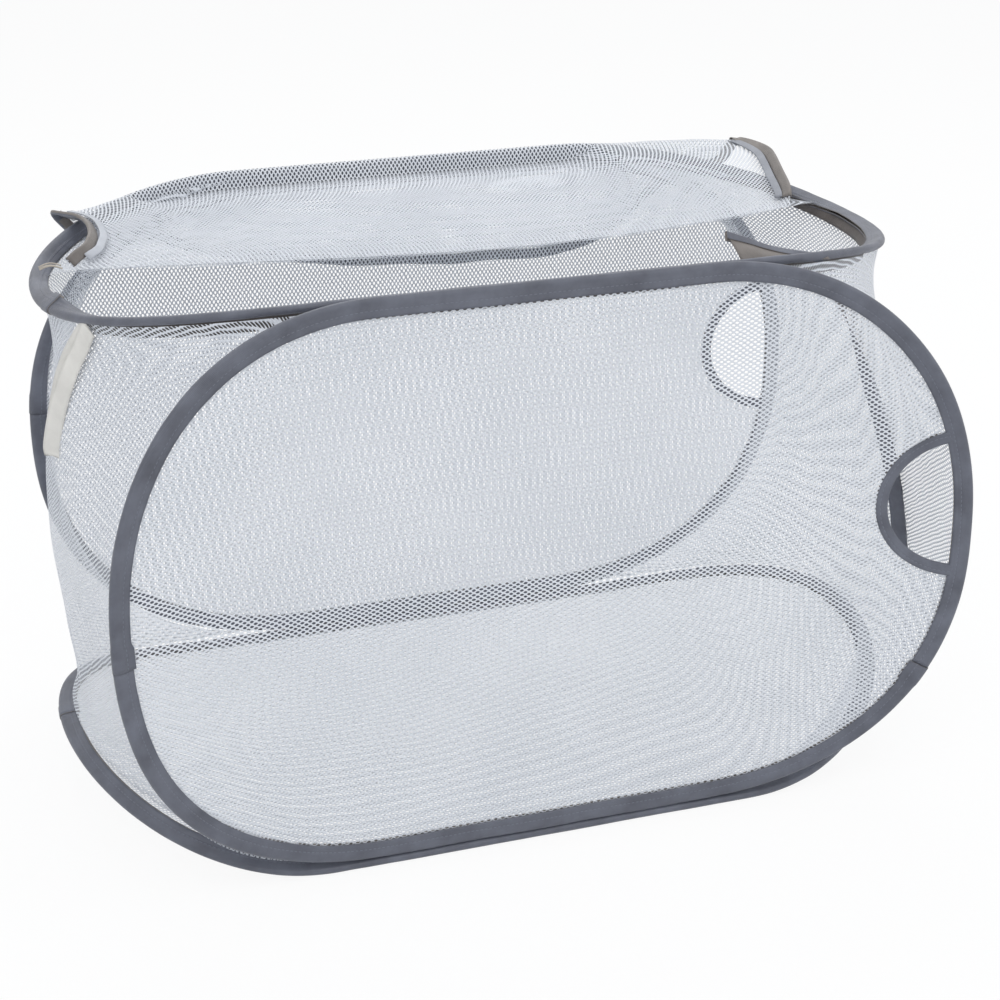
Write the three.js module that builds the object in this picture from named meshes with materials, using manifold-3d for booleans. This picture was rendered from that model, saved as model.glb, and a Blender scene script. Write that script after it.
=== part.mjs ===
// Pop-up laundry hamper: four sprung wire hoops in folded binding tape, joined by mesh panels.
// The front and back hoops stand on the bottom hoop and carry the rim hoop.
// The lid is a flap of the top mesh, thrown open over the rear of the rim.
// Millimetres, +Z up, +X along the length, front towards -Y, origin on the floor under the middle.

import * as THREE from 'three';
import { mergeVertices } from 'three/addons/utils/BufferGeometryUtils.js';
import Module from 'manifold-3d';

// Hoops, measured over the outside of their tape
const frontHoopLength = 570;
const frontHoopHeight = 385;
const frontHoopRun = 202;
const frontHoopBow = 33;
const backHoopLength = 622;
const backHoopRun = 202;
const backHoopBow = 0;
const backHoopShift = 15;
const rimHoopLength = 592;
const rimHoopRun = 250;
const rimDroop = 24;
const rimSetDown = 1.5;
const bottomHoopLength = 614;
const bottomHoopDepth = 362;
const bottomHoopRun = 294;
const bottomEndRise = 46;
const uprightRoundness = 2.28;
const levelRoundness = 2.1;

// Wire, ferrule, tape and mesh
const wireDiameter = 2.4;
const wireEndGap = 1;
const ferruleLength = 16;
const ferruleWall = 0.4;
const ferruleOffset = 40;
const ferruleClearance = 0.1;
const tapeClearance = 0.2;
const tapeThickness = 0.7;
const bindingWidth = 12.7;
const hemWidth = 8;
const meshThickness = 0.8;
const meshClearance = 0.35;
const meshTuck = 5.35;
const lapGap = 0.4;

// Seats between pieces
const seatGap = 0.3;
const hingeGap = 0.15;
const gussetGap = 0.5;
const bandGap = 1.1;

// Where each tape's ends lap, as angles round the hoop from its right end
const frontRightLapAngle = -31;
const frontLeftLapAngle = 183.5;
const backLapAngle = 173;
const rimLapAngle = 197;
const bottomLapAngle = 180;

// Hand holes, at the right end of the front and back panels. Each is an oval centred on the hoop's end.
const frontHandHole = { reach: 50, height: 92, rise: 20 };
const backHandHole = { reach: 58, height: 102, rise: 12 };
const handleEndGap = 1;

// Bottom panel, which sags to the floor inside its hoop
const floorSlopeRun = 30;

// Fullness of the end gussets, as how far each point of their grid stands out past its neighbours
const gussetFullness = 0.52;

// Lid flap
const chordSetback = 32;
const flapLength = 236;
const lidInset = 8;
const lidCrown = 6;
const lidHemStart = 9;
const lidBendGap = 0.6;
const hemBendGap = 1.7;
const drapeHemStart = 7;
const drapeFoldDepth = 5;
const drapeFoldPitch = 80;
const drapeFoldCount = 3;

// Tie ribbon, a loop that lies outside the left end. Shares count from the front and from the bottom.
const ribbonThickness = 0.8;
const ribbonOpening = 1.6;
const ribbon = {
  width: 16,
  topShare: 0.33,
  footShare: 0.49,
  topHeightShare: 0.99,
  footHeightShare: 0.655,
};

// Tape over the seam inside the right end, with shares as above
const seamTape = {
  width: 14,
  topShare: 0.66,
  footShare: 0.17,
  topHeightShare: 0.93,
  footHeightShare: 0.4,
};

// Fineness of the round forms
const endSteps = 24;
const wireSteps = 76;
const wireSides = 6;
const ferruleSides = 12;
const bulbSteps = 4;
const gussetSteps = 16;
const relaxRounds = 300;
const lidSteps = 8;
const rearRows = 3;
const drapeRows = 7;
const drapeColumns = 12;
const drapeSideColumns = 2;
const handleSteps = 14;
const seamSteps = 10;
const ribbonSteps = 8;
const cutOverrun = 20;

const tapeColour = 0x70757f;
const meshColour = 0xd6dae0;
const wireColour = 0x8c8f94;
const ribbonColour = 0xe3dfd8;
const fabricRoughness = 0.75;
const wireRoughness = 0.35;

// Sizes that follow from the ones above
const wireRadius = wireDiameter / 2;
const ferruleBore = (wireRadius + ferruleClearance) / Math.cos(Math.PI / ferruleSides);
const ferruleRadius = ferruleBore + ferruleWall;
const bulbBore = (ferruleRadius + tapeClearance) / Math.cos(Math.PI / (2 * bulbSteps));
const bulbRadius = bulbBore + tapeThickness;
const legGap = meshThickness / 2 + meshClearance;
const hemRadius = legGap + tapeThickness;
const bindingHalf = bindingWidth / 2;
const bulbCentre = bindingHalf - bulbRadius;
const meshEdge = meshTuck - bindingHalf;

const upright = new THREE.Vector3(0, 0, 1);
const forward = new THREE.Vector3(0, -1, 0);
const backward = new THREE.Vector3(0, 1, 0);
const downward = new THREE.Vector3(0, 0, -1);
const alongX = new THREE.Vector3(1, 0, 0);

// The front and back hoops stand over the bottom hoop's wire; the rim rests on the back hoop
// and lies against the inside of the front hoop, its top edge level with their common pivot.
const standY = bottomHoopDepth / 2 - bulbRadius;
const standZ = 2 * bulbRadius + seatGap;
const backPivotZ = standZ + bulbRadius;
const frontPivotZ = backPivotZ + 3 * bulbRadius + seatGap;
const linkHeight = standZ + frontHoopHeight - rimSetDown - frontPivotZ;
const backHoopHeight = linkHeight + 2 * bulbRadius;
const rimZ = backPivotZ + linkHeight + 2 * bulbRadius + seatGap;
const frontPivotY = -standY + bulbRadius + hingeGap;
const rimFrontY = frontPivotY + hingeGap;
const rimRearY = standY + bulbRadius;
const rimCentreY = (rimFrontY + rimRearY) / 2;

const frontHoop = {
  reach: frontHoopLength / 2 - bindingHalf,
  rise: frontHoopHeight / 2 - bindingHalf,
  run: frontHoopRun / 2,
  roundness: uprightRoundness,
  centre: new THREE.Vector3(0, -standY, standZ + frontHoopHeight / 2),
  across: upright,
  out: forward,
  bow: frontHoopBow,
  ferruleAngle: -90,
};
const backHoop = {
  reach: backHoopLength / 2 - bindingHalf,
  rise: backHoopHeight / 2 - bindingHalf,
  run: backHoopRun / 2,
  roundness: uprightRoundness,
  centre: new THREE.Vector3(backHoopShift, standY, standZ + backHoopHeight / 2),
  across: upright,
  out: backward,
  bow: backHoopBow,
  ferruleAngle: -90,
};
const rimHoop = {
  reach: rimHoopLength / 2 - bindingHalf,
  rise: (rimRearY - rimFrontY) / 2 - bindingHalf,
  run: rimHoopRun / 2,
  roundness: levelRoundness,
  centre: new THREE.Vector3(0, rimCentreY, rimZ),
  across: backward,
  out: downward,
  bow: rimDroop,
  ferruleAngle: 90,
};
const bottomHoop = {
  reach: bottomHoopLength / 2 - bindingHalf,
  rise: bottomHoopDepth / 2 - bindingHalf,
  run: bottomHoopRun / 2,
  roundness: levelRoundness,
  centre: new THREE.Vector3(0, 0, bulbRadius),
  across: backward,
  out: downward,
  bow: -bottomEndRise,
  ferruleAngle: 90,
};

// How far a hoop's bent end has left its plane at a distance u along it, and the slope there
function hoopLift(hoop, u) {
  const endLength = hoop.reach - hoop.run;
  const beyond = Math.max(0, Math.abs(u) - hoop.run) / endLength;
  return { lift: hoop.bow * beyond ** 2, slope: Math.sign(u) * 2 * hoop.bow * beyond / endLength };
}

// A point on a hoop's own surface, u along its length and v across it
function hoopPoint(hoop, u, v) {
  return hoop.centre.clone()
    .addScaledVector(alongX, u)
    .addScaledVector(hoop.across, v)
    .addScaledVector(hoop.out, hoopLift(hoop, u).lift);
}

// The place and outward direction on a hoop's centre line, at an angle in degrees.
// The ends are full rounds of the hoop's roundness; side says which end is meant.
function hoopStation(hoop, degrees, side) {
  const angle = THREE.MathUtils.degToRad(degrees);
  const c = Math.abs(Math.cos(angle));
  const s = Math.abs(Math.sin(angle));
  const n = hoop.roundness;
  const scale = (c ** n + s ** n) ** (-1 / n);
  const endLength = hoop.reach - hoop.run;
  const up = Math.sign(Math.sin(angle));
  const outward = new THREE.Vector2(
    side * (c * scale) ** (n - 1) / endLength,
    up * (s * scale) ** (n - 1) / hoop.rise,
  ).normalize();
  return { u: side * (hoop.run + endLength * c * scale), v: up * hoop.rise * s * scale, outward };
}

function sideAt(degrees) {
  return Math.cos(THREE.MathUtils.degToRad(degrees)) >= 0 ? 1 : -1;
}

// Stations from one angle round to a larger one, with both ends of each straight run
function hoopStations(hoop, fromDegrees, toDegrees) {
  const step = 180 / endSteps;
  const margin = step / 3;
  const stations = [hoopStation(hoop, fromDegrees, sideAt(fromDegrees + margin))];
  for (let k = Math.ceil((fromDegrees + margin) / step); k * step < toDegrees - margin; k++) {
    const degrees = k * step;
    const before = sideAt(degrees - margin);
    const after = sideAt(degrees + margin);
    stations.push(hoopStation(hoop, degrees, before));
    if (after !== before) stations.push(hoopStation(hoop, degrees, after));
  }
  stations.push(hoopStation(hoop, toDegrees, sideAt(toDegrees - margin)));
  return stations;
}

// Half a hoop's length inside an inset, at a height v from its middle
function halfWidth(hoop, v, inset) {
  const n = hoop.roundness;
  const share = Math.min(1, Math.abs(v) / (hoop.rise - inset));
  return hoop.run + (hoop.reach - hoop.run - inset) * (1 - share ** n) ** (1 / n);
}

function insetPoint(station, inset) {
  return new THREE.Vector2(station.u, station.v).addScaledVector(station.outward, -inset);
}

// Frames along a flat line of stations on a hoop's surface, for a section to be swept on
function hoopFrames(hoop, stations) {
  return stations.map((station) => {
    const { slope } = hoopLift(hoop, station.u);
    const outward = alongX.clone().multiplyScalar(station.outward.x)
      .addScaledVector(hoop.across, station.outward.y)
      .addScaledVector(hoop.out, slope * station.outward.x)
      .normalize();
    const normal = hoop.out.clone().addScaledVector(alongX, -slope).normalize();
    return { origin: hoopPoint(hoop, station.u, station.v), outward, normal };
  });
}

// Closed solids from triangles

function makeGeometry(points, triangles) {
  const geometry = new THREE.BufferGeometry();
  const positions = [];
  const index = [];
  points.forEach((p) => positions.push(p.x, p.y, p.z));
  for (const [a, b, c] of triangles) {
    const repeated = [[a, b], [b, c], [c, a]].some(([p, q]) => points[p].equals(points[q]));
    if (!repeated) index.push(a, b, c);
  }
  geometry.setAttribute('position', new THREE.Float32BufferAttribute(positions, 3));
  geometry.setIndex(index);
  return facingOut(geometry);
}

// The same solid with its faces turned to point outward
function facingOut(geometry) {
  const position = geometry.getAttribute('position');
  const index = geometry.getIndex().array;
  const [a, b, c] = [new THREE.Vector3(), new THREE.Vector3(), new THREE.Vector3()];
  let volume = 0;
  for (let k = 0; k < index.length; k += 3) {
    a.fromBufferAttribute(position, index[k]);
    b.fromBufferAttribute(position, index[k + 1]);
    c.fromBufferAttribute(position, index[k + 2]);
    volume += a.dot(b.cross(c));
  }
  if (volume < 0) {
    for (let k = 0; k < index.length; k += 3) [index[k], index[k + 1]] = [index[k + 1], index[k]];
  }
  return geometry;
}

// A section, given as outward and normal offsets, swept along frames and capped at both ends
function sweptGeometry(frames, section) {
  const points = [];
  const triangles = [];
  const count = section.length;
  for (const frame of frames) {
    for (const corner of section) {
      points.push(frame.origin.clone()
        .addScaledVector(frame.outward, corner.x)
        .addScaledVector(frame.normal, corner.y));
    }
  }
  for (let k = 0; k + 1 < frames.length; k++) {
    for (let i = 0; i < count; i++) {
      const a = k * count + i;
      const b = k * count + (i + 1) % count;
      triangles.push([a, b, b + count], [a, b + count, a + count]);
    }
  }
  const last = (frames.length - 1) * count;
  for (const [a, b, c] of THREE.ShapeUtils.triangulateShape(section, [])) {
    triangles.push([a, c, b], [last + a, last + b, last + c]);
  }
  return makeGeometry(points, triangles);
}

// The thickness direction at each point of a grid, from the cells round it
function gridNormals(grid) {
  const normals = grid.map((row) => row.map(() => new THREE.Vector3()));
  for (let i = 0; i + 1 < grid.length; i++) {
    for (let j = 0; j + 1 < grid[i].length; j++) {
      const first = grid[i + 1][j + 1].clone().sub(grid[i][j]);
      const second = grid[i][j + 1].clone().sub(grid[i + 1][j]);
      const cell = first.cross(second);
      for (const [k, l] of [[i, j], [i + 1, j], [i, j + 1], [i + 1, j + 1]]) normals[k][l].add(cell);
    }
  }
  normals.forEach((row) => row.forEach((normal) => normal.normalize()));
  return normals;
}

// An even sheet over a grid of points on its middle surface
function sheetGeometry(grid, thickness) {
  const rows = grid.length;
  const columns = grid[0].length;
  const normals = gridNormals(grid);
  const points = [];
  const triangles = [];
  for (const side of [1, -1]) {
    grid.forEach((row, i) => row.forEach((point, j) => {
      points.push(point.clone().addScaledVector(normals[i][j], side * thickness / 2));
    }));
  }
  const under = rows * columns;
  const at = (i, j) => i * columns + j;
  for (let i = 0; i + 1 < rows; i++) {
    for (let j = 0; j + 1 < columns; j++) {
      const [a, b, c, d] = [at(i, j), at(i + 1, j), at(i + 1, j + 1), at(i, j + 1)];
      triangles.push([a, b, c], [a, c, d]);
      triangles.push([under + a, under + c, under + b], [under + a, under + d, under + c]);
    }
  }
  const rim = [];
  for (let j = 0; j + 1 < columns; j++) rim.push(at(0, j));
  for (let i = 0; i + 1 < rows; i++) rim.push(at(i, columns - 1));
  for (let j = columns - 1; j > 0; j--) rim.push(at(rows - 1, j));
  for (let i = rows - 1; i > 0; i--) rim.push(at(i, 0));
  rim.forEach((a, k) => {
    const b = rim[(k + 1) % rim.length];
    triangles.push([a, b, under + b], [a, under + b, under + a]);
  });
  return makeGeometry(points, triangles);
}

// Tape folded round a wire or an edge: a round bulb at the fold and two legs that close on the mesh
function tapeSection(outerEdge, width, bore, thickness) {
  const centre = outerEdge - bore - thickness;
  const section = [];
  const bulb = (radius, turn) => {
    for (let k = 0; k <= bulbSteps; k++) {
      const angle = turn * (k / bulbSteps - 0.5) * Math.PI;
      section.push(new THREE.Vector2(centre + radius * Math.cos(angle), radius * Math.sin(angle)));
    }
  };
  section.push(new THREE.Vector2(outerEdge - width, -legGap - thickness));
  bulb(bore + thickness, 1);
  section.push(new THREE.Vector2(outerEdge - width, legGap + thickness));
  section.push(new THREE.Vector2(outerEdge - width, legGap));
  bulb(bore, -1);
  section.push(new THREE.Vector2(outerEdge - width, -legGap));
  return section;
}

const bindingSection = tapeSection(bindingHalf, bindingWidth, bulbBore, tapeThickness);
const hemSection = tapeSection(hemRadius, hemWidth, legGap, tapeThickness);

// One length of binding tape, from one lap round to the next
function bindingGeometry(hoop, fromDegrees, toDegrees) {
  const shortfall = THREE.MathUtils.radToDeg(lapGap / 2 / hoop.rise);
  const stations = hoopStations(hoop, fromDegrees + shortfall, toDegrees - shortfall);
  return sweptGeometry(hoopFrames(hoop, stations), bindingSection);
}

// The line of a hoop's wire, from one side of its ferrule round to the other
class WireCurve extends THREE.Curve {
  constructor(hoop) {
    super();
    this.hoop = hoop;
  }

  getPoint(t, target = new THREE.Vector3()) {
    const { hoop } = this;
    const start = hoop.ferruleAngle;
    const endArc = Math.PI * (hoop.reach - hoop.run + hoop.rise) / 2;
    const firstRun = hoop.run - ferruleOffset - wireEndGap / 2;
    const lastRun = hoop.run + ferruleOffset - wireEndGap / 2;
    const lengths = [firstRun, endArc, 2 * hoop.run, endArc, lastRun];
    let left = t * lengths.reduce((sum, length) => sum + length);
    let leg = 0;
    while (leg < lengths.length - 1 && left > lengths[leg]) {
      left -= lengths[leg];
      leg += 1;
    }
    const share = left / lengths[leg];
    const near = start > 0 ? -1 : 1;
    const angle = [start, start + 180 * share, start + 180, start + 180 + 180 * share, start + 360][leg];
    const side = [near, near, near, -near, -near][leg];
    const station = hoopStation(hoop, angle, side);
    const runs = [-near * (1 - share) * firstRun, 0, -near * share * 2 * hoop.run, 0, near * share * lastRun];
    const [frame] = hoopFrames(hoop, [{ ...station, u: station.u + runs[leg] }]);
    return target.copy(frame.origin).addScaledVector(frame.outward, bulbCentre);
  }
}

function wireGeometry(hoop) {
  const section = new THREE.Shape();
  for (let k = 0; k < wireSides; k++) {
    const angle = 2 * Math.PI * k / wireSides;
    const corner = [wireRadius * Math.cos(angle), wireRadius * Math.sin(angle)];
    if (k === 0) section.moveTo(...corner);
    else section.lineTo(...corner);
  }
  section.closePath();
  const extrudePath = new WireCurve(hoop);
  return new THREE.ExtrudeGeometry(section, { extrudePath, steps: wireSteps, bevelEnabled: false });
}

// The crimped tube that joins the two ends of a hoop's wire, on a straight run
function ferruleMesh(hoop) {
  const half = ferruleLength / 2;
  const profile = [
    new THREE.Vector2(ferruleBore, -half),
    new THREE.Vector2(ferruleRadius, -half),
    new THREE.Vector2(ferruleRadius, half),
    new THREE.Vector2(ferruleBore, half),
    new THREE.Vector2(ferruleBore, -half),
  ];
  const geometry = new THREE.LatheGeometry(profile, ferruleSides);
  geometry.rotateZ(Math.PI / 2);
  const mesh = new THREE.Mesh(geometry);
  const up = Math.sign(hoop.ferruleAngle);
  const near = -up;
  mesh.position.copy(hoopPoint(hoop, near * ferruleOffset, up * (hoop.rise + bulbCentre)));
  return mesh;
}

// Solid cuts

const wasm = await Module();
wasm.setup();

function toManifold(geometry) {
  const plain = geometry.clone();
  plain.deleteAttribute('normal');
  plain.deleteAttribute('uv');
  const merged = mergeVertices(plain);
  return new wasm.Manifold(new wasm.Mesh({
    numProp: 3,
    vertProperties: new Float32Array(merged.getAttribute('position').array),
    triVerts: new Uint32Array(merged.getIndex().array),
  }));
}

function fromManifold(solid) {
  const mesh = solid.getMesh();
  const geometry = new THREE.BufferGeometry();
  geometry.setAttribute('position', new THREE.BufferAttribute(mesh.vertProperties, 3));
  geometry.setIndex(new THREE.BufferAttribute(mesh.triVerts, 1));
  return geometry;
}

// The mesh panel that fills an upright hoop, its edge tucked between the legs of the tape
function uprightPanel(hoop) {
  const upper = hoopStations(hoop, 0, 180).map((station) => insetPoint(station, -meshEdge));
  const grid = upper.map((p) => [hoopPoint(hoop, p.x, -p.y), hoopPoint(hoop, p.x, p.y)]);
  return sheetGeometry(grid, meshThickness);
}

// The half-moon hand hole's cutter, right through the panel
function handHoleCutter(hoop, hole) {
  const outline = new THREE.Shape();
  outline.absellipse(hoop.reach, hole.rise, hole.reach, hole.height / 2, 0, 2 * Math.PI);
  const depth = 2 * (hoop.bow + cutOverrun);
  const options = { depth, steps: 1, curveSegments: 2 * endSteps, bevelEnabled: false };
  const cutter = new THREE.ExtrudeGeometry(outline, options);
  cutter.rotateX(Math.PI / 2);
  cutter.translate(hoop.centre.x, hoop.centre.y + depth / 2, hoop.centre.z);
  return cutter;
}

function panelWithHandHole(hoop, hole) {
  return fromManifold(toManifold(uprightPanel(hoop)).subtract(toManifold(handHoleCutter(hoop, hole))));
}

// The tape round the hand hole, from the hoop's tape and back to it
function handleGeometry(hoop, hole) {
  const farEdge = hole.rise + hole.height / 2 + hemWidth;
  const stop = halfWidth(hoop, farEdge, bindingHalf) - handleEndGap;
  const tip = Math.acos((hoop.reach - stop) / hole.reach);
  const stations = [];
  for (let k = 0; k <= handleSteps; k++) {
    const angle = tip * (2 * k / handleSteps - 1);
    const u = hoop.reach - hole.reach * Math.cos(angle);
    const v = hole.rise + hole.height / 2 * Math.sin(angle);
    const outward = new THREE.Vector2(
      (hoop.reach - u) / hole.reach ** 2,
      (hole.rise - v) / (hole.height / 2) ** 2,
    ).normalize();
    stations.push({ u, v, outward });
  }
  return sweptGeometry(hoopFrames(hoop, stations), hemSection);
}

// The bottom panel: its edge lies between the tape's legs, then it slopes down to lie on the floor.
// Towards the ends it is stretched over the rise of the hoop.
function bottomPanelGeometry() {
  const stations = hoopStations(bottomHoop, -90, 270);
  const flat = -meshEdge + meshTuck + seatGap;
  const rings = [
    { inset: -meshEdge, drop: 0 },
    { inset: flat, drop: 0 },
    { inset: flat + floorSlopeRun, drop: bulbRadius - meshThickness / 2 },
  ];
  const points = [];
  const triangles = [];
  for (const side of [1, -1]) {
    for (const ring of rings) {
      for (const station of stations) {
        const p = insetPoint(station, ring.inset);
        const height = side * meshThickness / 2 - ring.drop;
        points.push(hoopPoint(bottomHoop, p.x, p.y).addScaledVector(upright, height));
      }
    }
  }
  const count = stations.length;
  const under = rings.length * count;
  const addCell = (a, b, c, d) => {
    triangles.push([a, b, c], [a, c, d]);
    triangles.push([under + a, under + c, under + b], [under + a, under + d, under + c]);
  };
  for (let i = 0; i < count; i++) {
    const j = (i + 1) % count;
    for (let a = 0; a + count < under; a += count) addCell(a + i, a + j, a + count + j, a + count + i);
    triangles.push([i, under + i, under + j], [i, under + j, j]);
  }
  const inner = under - count;
  const half = count / 2;
  addCell(inner + half - 1, inner + half, inner + count - 1, inner);
  for (const start of [inner, inner + half]) {
    for (let k = 0; 2 * k < half - 1; k++) {
      addCell(start + k, start + k + 1, start + half - 2 - k, start + half - 1 - k);
    }
  }
  return makeGeometry(points, triangles);
}

// How far a gusset's edge reaches out on a hoop at one side, and how far along the edge it is
function gussetReach(hoop, side, degrees) {
  const corner = rimHoop.run;
  const angle = THREE.MathUtils.degToRad(degrees);
  const c = Math.abs(Math.cos(angle));
  const s = Math.sin(angle);
  const n = hoop.roundness;
  const scale = (c ** n + Math.abs(s) ** n) ** (-1 / n);
  const end = hoop.reach + side * hoop.centre.x;
  return { x: corner + (end - corner) * c * scale, share: (1 + s * scale) / 2 };
}

// How far out of a hoop's plane a gusset's edge lies beside its tape, on the side that turn says
function gussetEdge(hoop, u, turn) {
  const { lift, slope } = hoopLift(hoop, u);
  return lift + turn * (bulbRadius + gussetGap) * Math.hypot(1, slope);
}

// The end gusset: a stretched patch between the ends of all four hoops, seen from the inside.
// Its edges lie on the tapes and its middle settles like a soap film with some fullness.
function gussetGrid(side) {
  const frontFace = (x) => -standY - gussetEdge(frontHoop, x, -1);
  const backFace = (x) => standY + gussetEdge(backHoop, x - side * backHoopShift, -1);
  const lowFace = (x) => bottomHoop.centre.z - gussetEdge(bottomHoop, x, -1);
  const highFace = (x) => rimZ - gussetEdge(rimHoop, x, 1);
  const corner = rimHoop.run;
  const grid = [];
  for (let i = 0; i <= gussetSteps; i++) {
    const level = 180 * i / gussetSteps - 90;
    const foot = gussetReach(bottomHoop, side, level);
    const head = gussetReach(rimHoop, side, level);
    const y = THREE.MathUtils.lerp(frontFace(corner), backFace(corner), foot.share);
    const row = [];
    for (let j = 0; j <= gussetSteps; j++) {
      const rise = 180 * j / gussetSteps - 90;
      const front = gussetReach(frontHoop, side, rise);
      const back = gussetReach(backHoop, side, rise);
      const z = THREE.MathUtils.lerp(lowFace(corner), highFace(corner), front.share);
      const p = new THREE.Vector3((foot.x + head.x) / 2, y, z);
      if (i === 0) p.set(front.x, frontFace(front.x), z);
      else if (i === gussetSteps) p.set(back.x, backFace(back.x), z);
      else if (j === 0) p.set(foot.x, y, lowFace(foot.x));
      else if (j === gussetSteps) p.set(head.x, y, highFace(head.x));
      row.push(p);
    }
    grid.push(row);
  }
  for (let round = 0; round < relaxRounds; round++) {
    for (let i = 1; i < gussetSteps; i++) {
      for (let j = 1; j < gussetSteps; j++) {
        const around = [grid[i - 1][j], grid[i + 1][j], grid[i][j - 1], grid[i][j + 1]];
        grid[i][j].set(0, 0, 0);
        around.forEach((p) => grid[i][j].addScaledVector(p, 1 / around.length));
        grid[i][j].x += gussetFullness;
      }
    }
  }
  for (const row of grid) for (const p of row) p.x *= side;
  return grid;
}

// A point on the triangles of a sheet over a grid, at shares of its two directions
function gridPoint(grid, shareI, shareJ) {
  const i = Math.min(Math.floor(shareI * (grid.length - 1)), grid.length - 2);
  const j = Math.min(Math.floor(shareJ * (grid[0].length - 1)), grid[0].length - 2);
  const a = shareI * (grid.length - 1) - i;
  const b = shareJ * (grid[0].length - 1) - j;
  const corner = a > b ? grid[i + 1][j] : grid[i][j + 1];
  return new THREE.Vector3()
    .addScaledVector(grid[i][j], 1 - Math.max(a, b))
    .addScaledVector(corner, Math.abs(a - b))
    .addScaledVector(grid[i + 1][j + 1], Math.min(a, b));
}

// A row of points across a band that lies on a gusset at a share t of its way down, lifted towards -X
function bandRow(grid, normals, band, t, lift) {
  const along = THREE.MathUtils.lerp(band.topShare, band.footShare, t);
  const height = THREE.MathUtils.lerp(band.topHeightShare, band.footHeightShare, t);
  const span = gridPoint(grid, 0, height).distanceTo(gridPoint(grid, 1, height));
  return [-1, 0, 1].map((edge) => {
    const share = along + edge * band.width / 2 / span;
    const normal = gridPoint(normals, share, height).normalize();
    return gridPoint(grid, share, height).addScaledVector(normal, -lift);
  });
}

// The tape over the seam inside the right gusset, which leans towards the front as it comes down
function seamTapeGeometry(grid) {
  const normals = gridNormals(grid);
  const lift = meshThickness / 2 + bandGap + tapeThickness / 2;
  const tape = [];
  for (let k = 0; k <= seamSteps; k++) tape.push(bandRow(grid, normals, seamTape, k / seamSteps, lift));
  return sheetGeometry(tape, tapeThickness);
}

// The tie ribbon: a narrow loop from under the rim, lying down the outside of the left gusset
function ribbonGeometry(grid) {
  const normals = gridNormals(grid);
  const turn = (ribbonOpening + ribbonThickness) / 2;
  const middle = meshThickness / 2 + bandGap + ribbonThickness / 2 + turn;
  const strand = [];
  for (let k = 0; k <= ribbonSteps; k++) strand.push(k / ribbonSteps);
  const loop = strand.map((t) => bandRow(grid, normals, ribbon, t, middle - turn));
  const foot = bandRow(grid, normals, ribbon, 1, middle);
  const above = bandRow(grid, normals, ribbon, strand[ribbonSteps - 1], middle);
  for (let k = 1; k < bulbSteps; k++) {
    const angle = Math.PI * k / bulbSteps;
    const row = bandRow(grid, normals, ribbon, 1, middle - turn * Math.cos(angle));
    loop.push(row.map((p, i) => {
      const down = foot[i].clone().sub(above[i]).normalize();
      return p.addScaledVector(down, turn * Math.sin(angle));
    }));
  }
  for (const t of strand.reverse()) loop.push(bandRow(grid, normals, ribbon, t, middle + turn));
  return sheetGeometry(loop, ribbonThickness);
}

// The chord: the line across the rim where the lid folds, level with the rim where it meets it
const chordBehind = chordSetback - rimCentreY;
const chordZ = rimZ - hoopLift(rimHoop, halfWidth(rimHoop, chordBehind, bindingHalf)).lift;
const lidAxisZ = chordZ + meshThickness / 2 + hingeGap;

// The fixed rear part of the top mesh, from the tape of the rim down to the chord
function rearTopGeometry() {
  const inner = -meshEdge + meshTuck + 2 * seatGap;
  const edgeY = chordSetback + hingeGap;
  const grid = [];
  for (const station of hoopStations(rimHoop, 0, 180)) {
    const tucked = insetPoint(station, -meshEdge);
    const free = insetPoint(station, inner);
    if (free.y + rimCentreY <= edgeY + seatGap) continue;
    const row = [hoopPoint(rimHoop, tucked.x, tucked.y)];
    const freePoint = hoopPoint(rimHoop, free.x, free.y);
    const chordPoint = new THREE.Vector3(free.x, edgeY, chordZ);
    for (let k = 0; k <= rearRows; k++) row.push(freePoint.clone().lerp(chordPoint, k / rearRows));
    grid.push(row);
  }
  return sheetGeometry(grid, meshThickness);
}

// The lid's middle surface, from the chord up over the rear of the rim to the bend
const bendY = rimRearY + seatGap + hemRadius;
const bendZ = rimZ + bulbRadius + seatGap + hemRadius;
const lidStartZ = lidAxisZ + hingeGap + meshThickness / 2;
const lidLength = Math.hypot(bendY - chordSetback, bendZ - lidStartZ);
const lidAlong = new THREE.Vector3(0, bendY - chordSetback, bendZ - lidStartZ).normalize();
const lidNormal = new THREE.Vector3(0, -lidAlong.z, lidAlong.y);
const flapInset = bindingHalf + lidInset;
const flapRound = flapLength - chordBehind;

function flapHalfWidth(distance) {
  const n = rimHoop.roundness;
  const share = Math.min(1, Math.abs(distance - chordBehind) / flapRound);
  return rimHoop.run + (rimHoop.reach - rimHoop.run - flapInset) * (1 - share ** n) ** (1 / n);
}

function lidPoint(share, distance) {
  const crown = lidCrown * Math.sin(Math.PI * distance / lidLength);
  return new THREE.Vector3(share * flapHalfWidth(distance), chordSetback, lidStartZ)
    .addScaledVector(lidAlong, distance)
    .addScaledVector(lidNormal, crown);
}

// Distances from the chord at which both the lid and its hems have a row
const lidDistances = [];
for (let k = 0; k <= lidSteps; k++) {
  lidDistances.push(THREE.MathUtils.lerp(lidHemStart, lidLength - hemBendGap, k / lidSteps));
}

const lidGrid = [hingeGap, ...lidDistances, lidLength - lidBendGap]
  .map((distance) => [-1, 0, 1].map((share) => lidPoint(share, distance)));

// Frames on a line of points from the sheet normals there; outSign turns them to face outward
function edgeFrames(points, normals, outSign) {
  return points.map((origin, k) => {
    const before = points[Math.max(k - 1, 0)];
    const after = points[Math.min(k + 1, points.length - 1)];
    const tangent = after.clone().sub(before).normalize();
    const outward = tangent.clone().cross(normals[k]).multiplyScalar(outSign).normalize();
    return { origin, outward, normal: outward.clone().cross(tangent).normalize() };
  });
}

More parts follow.
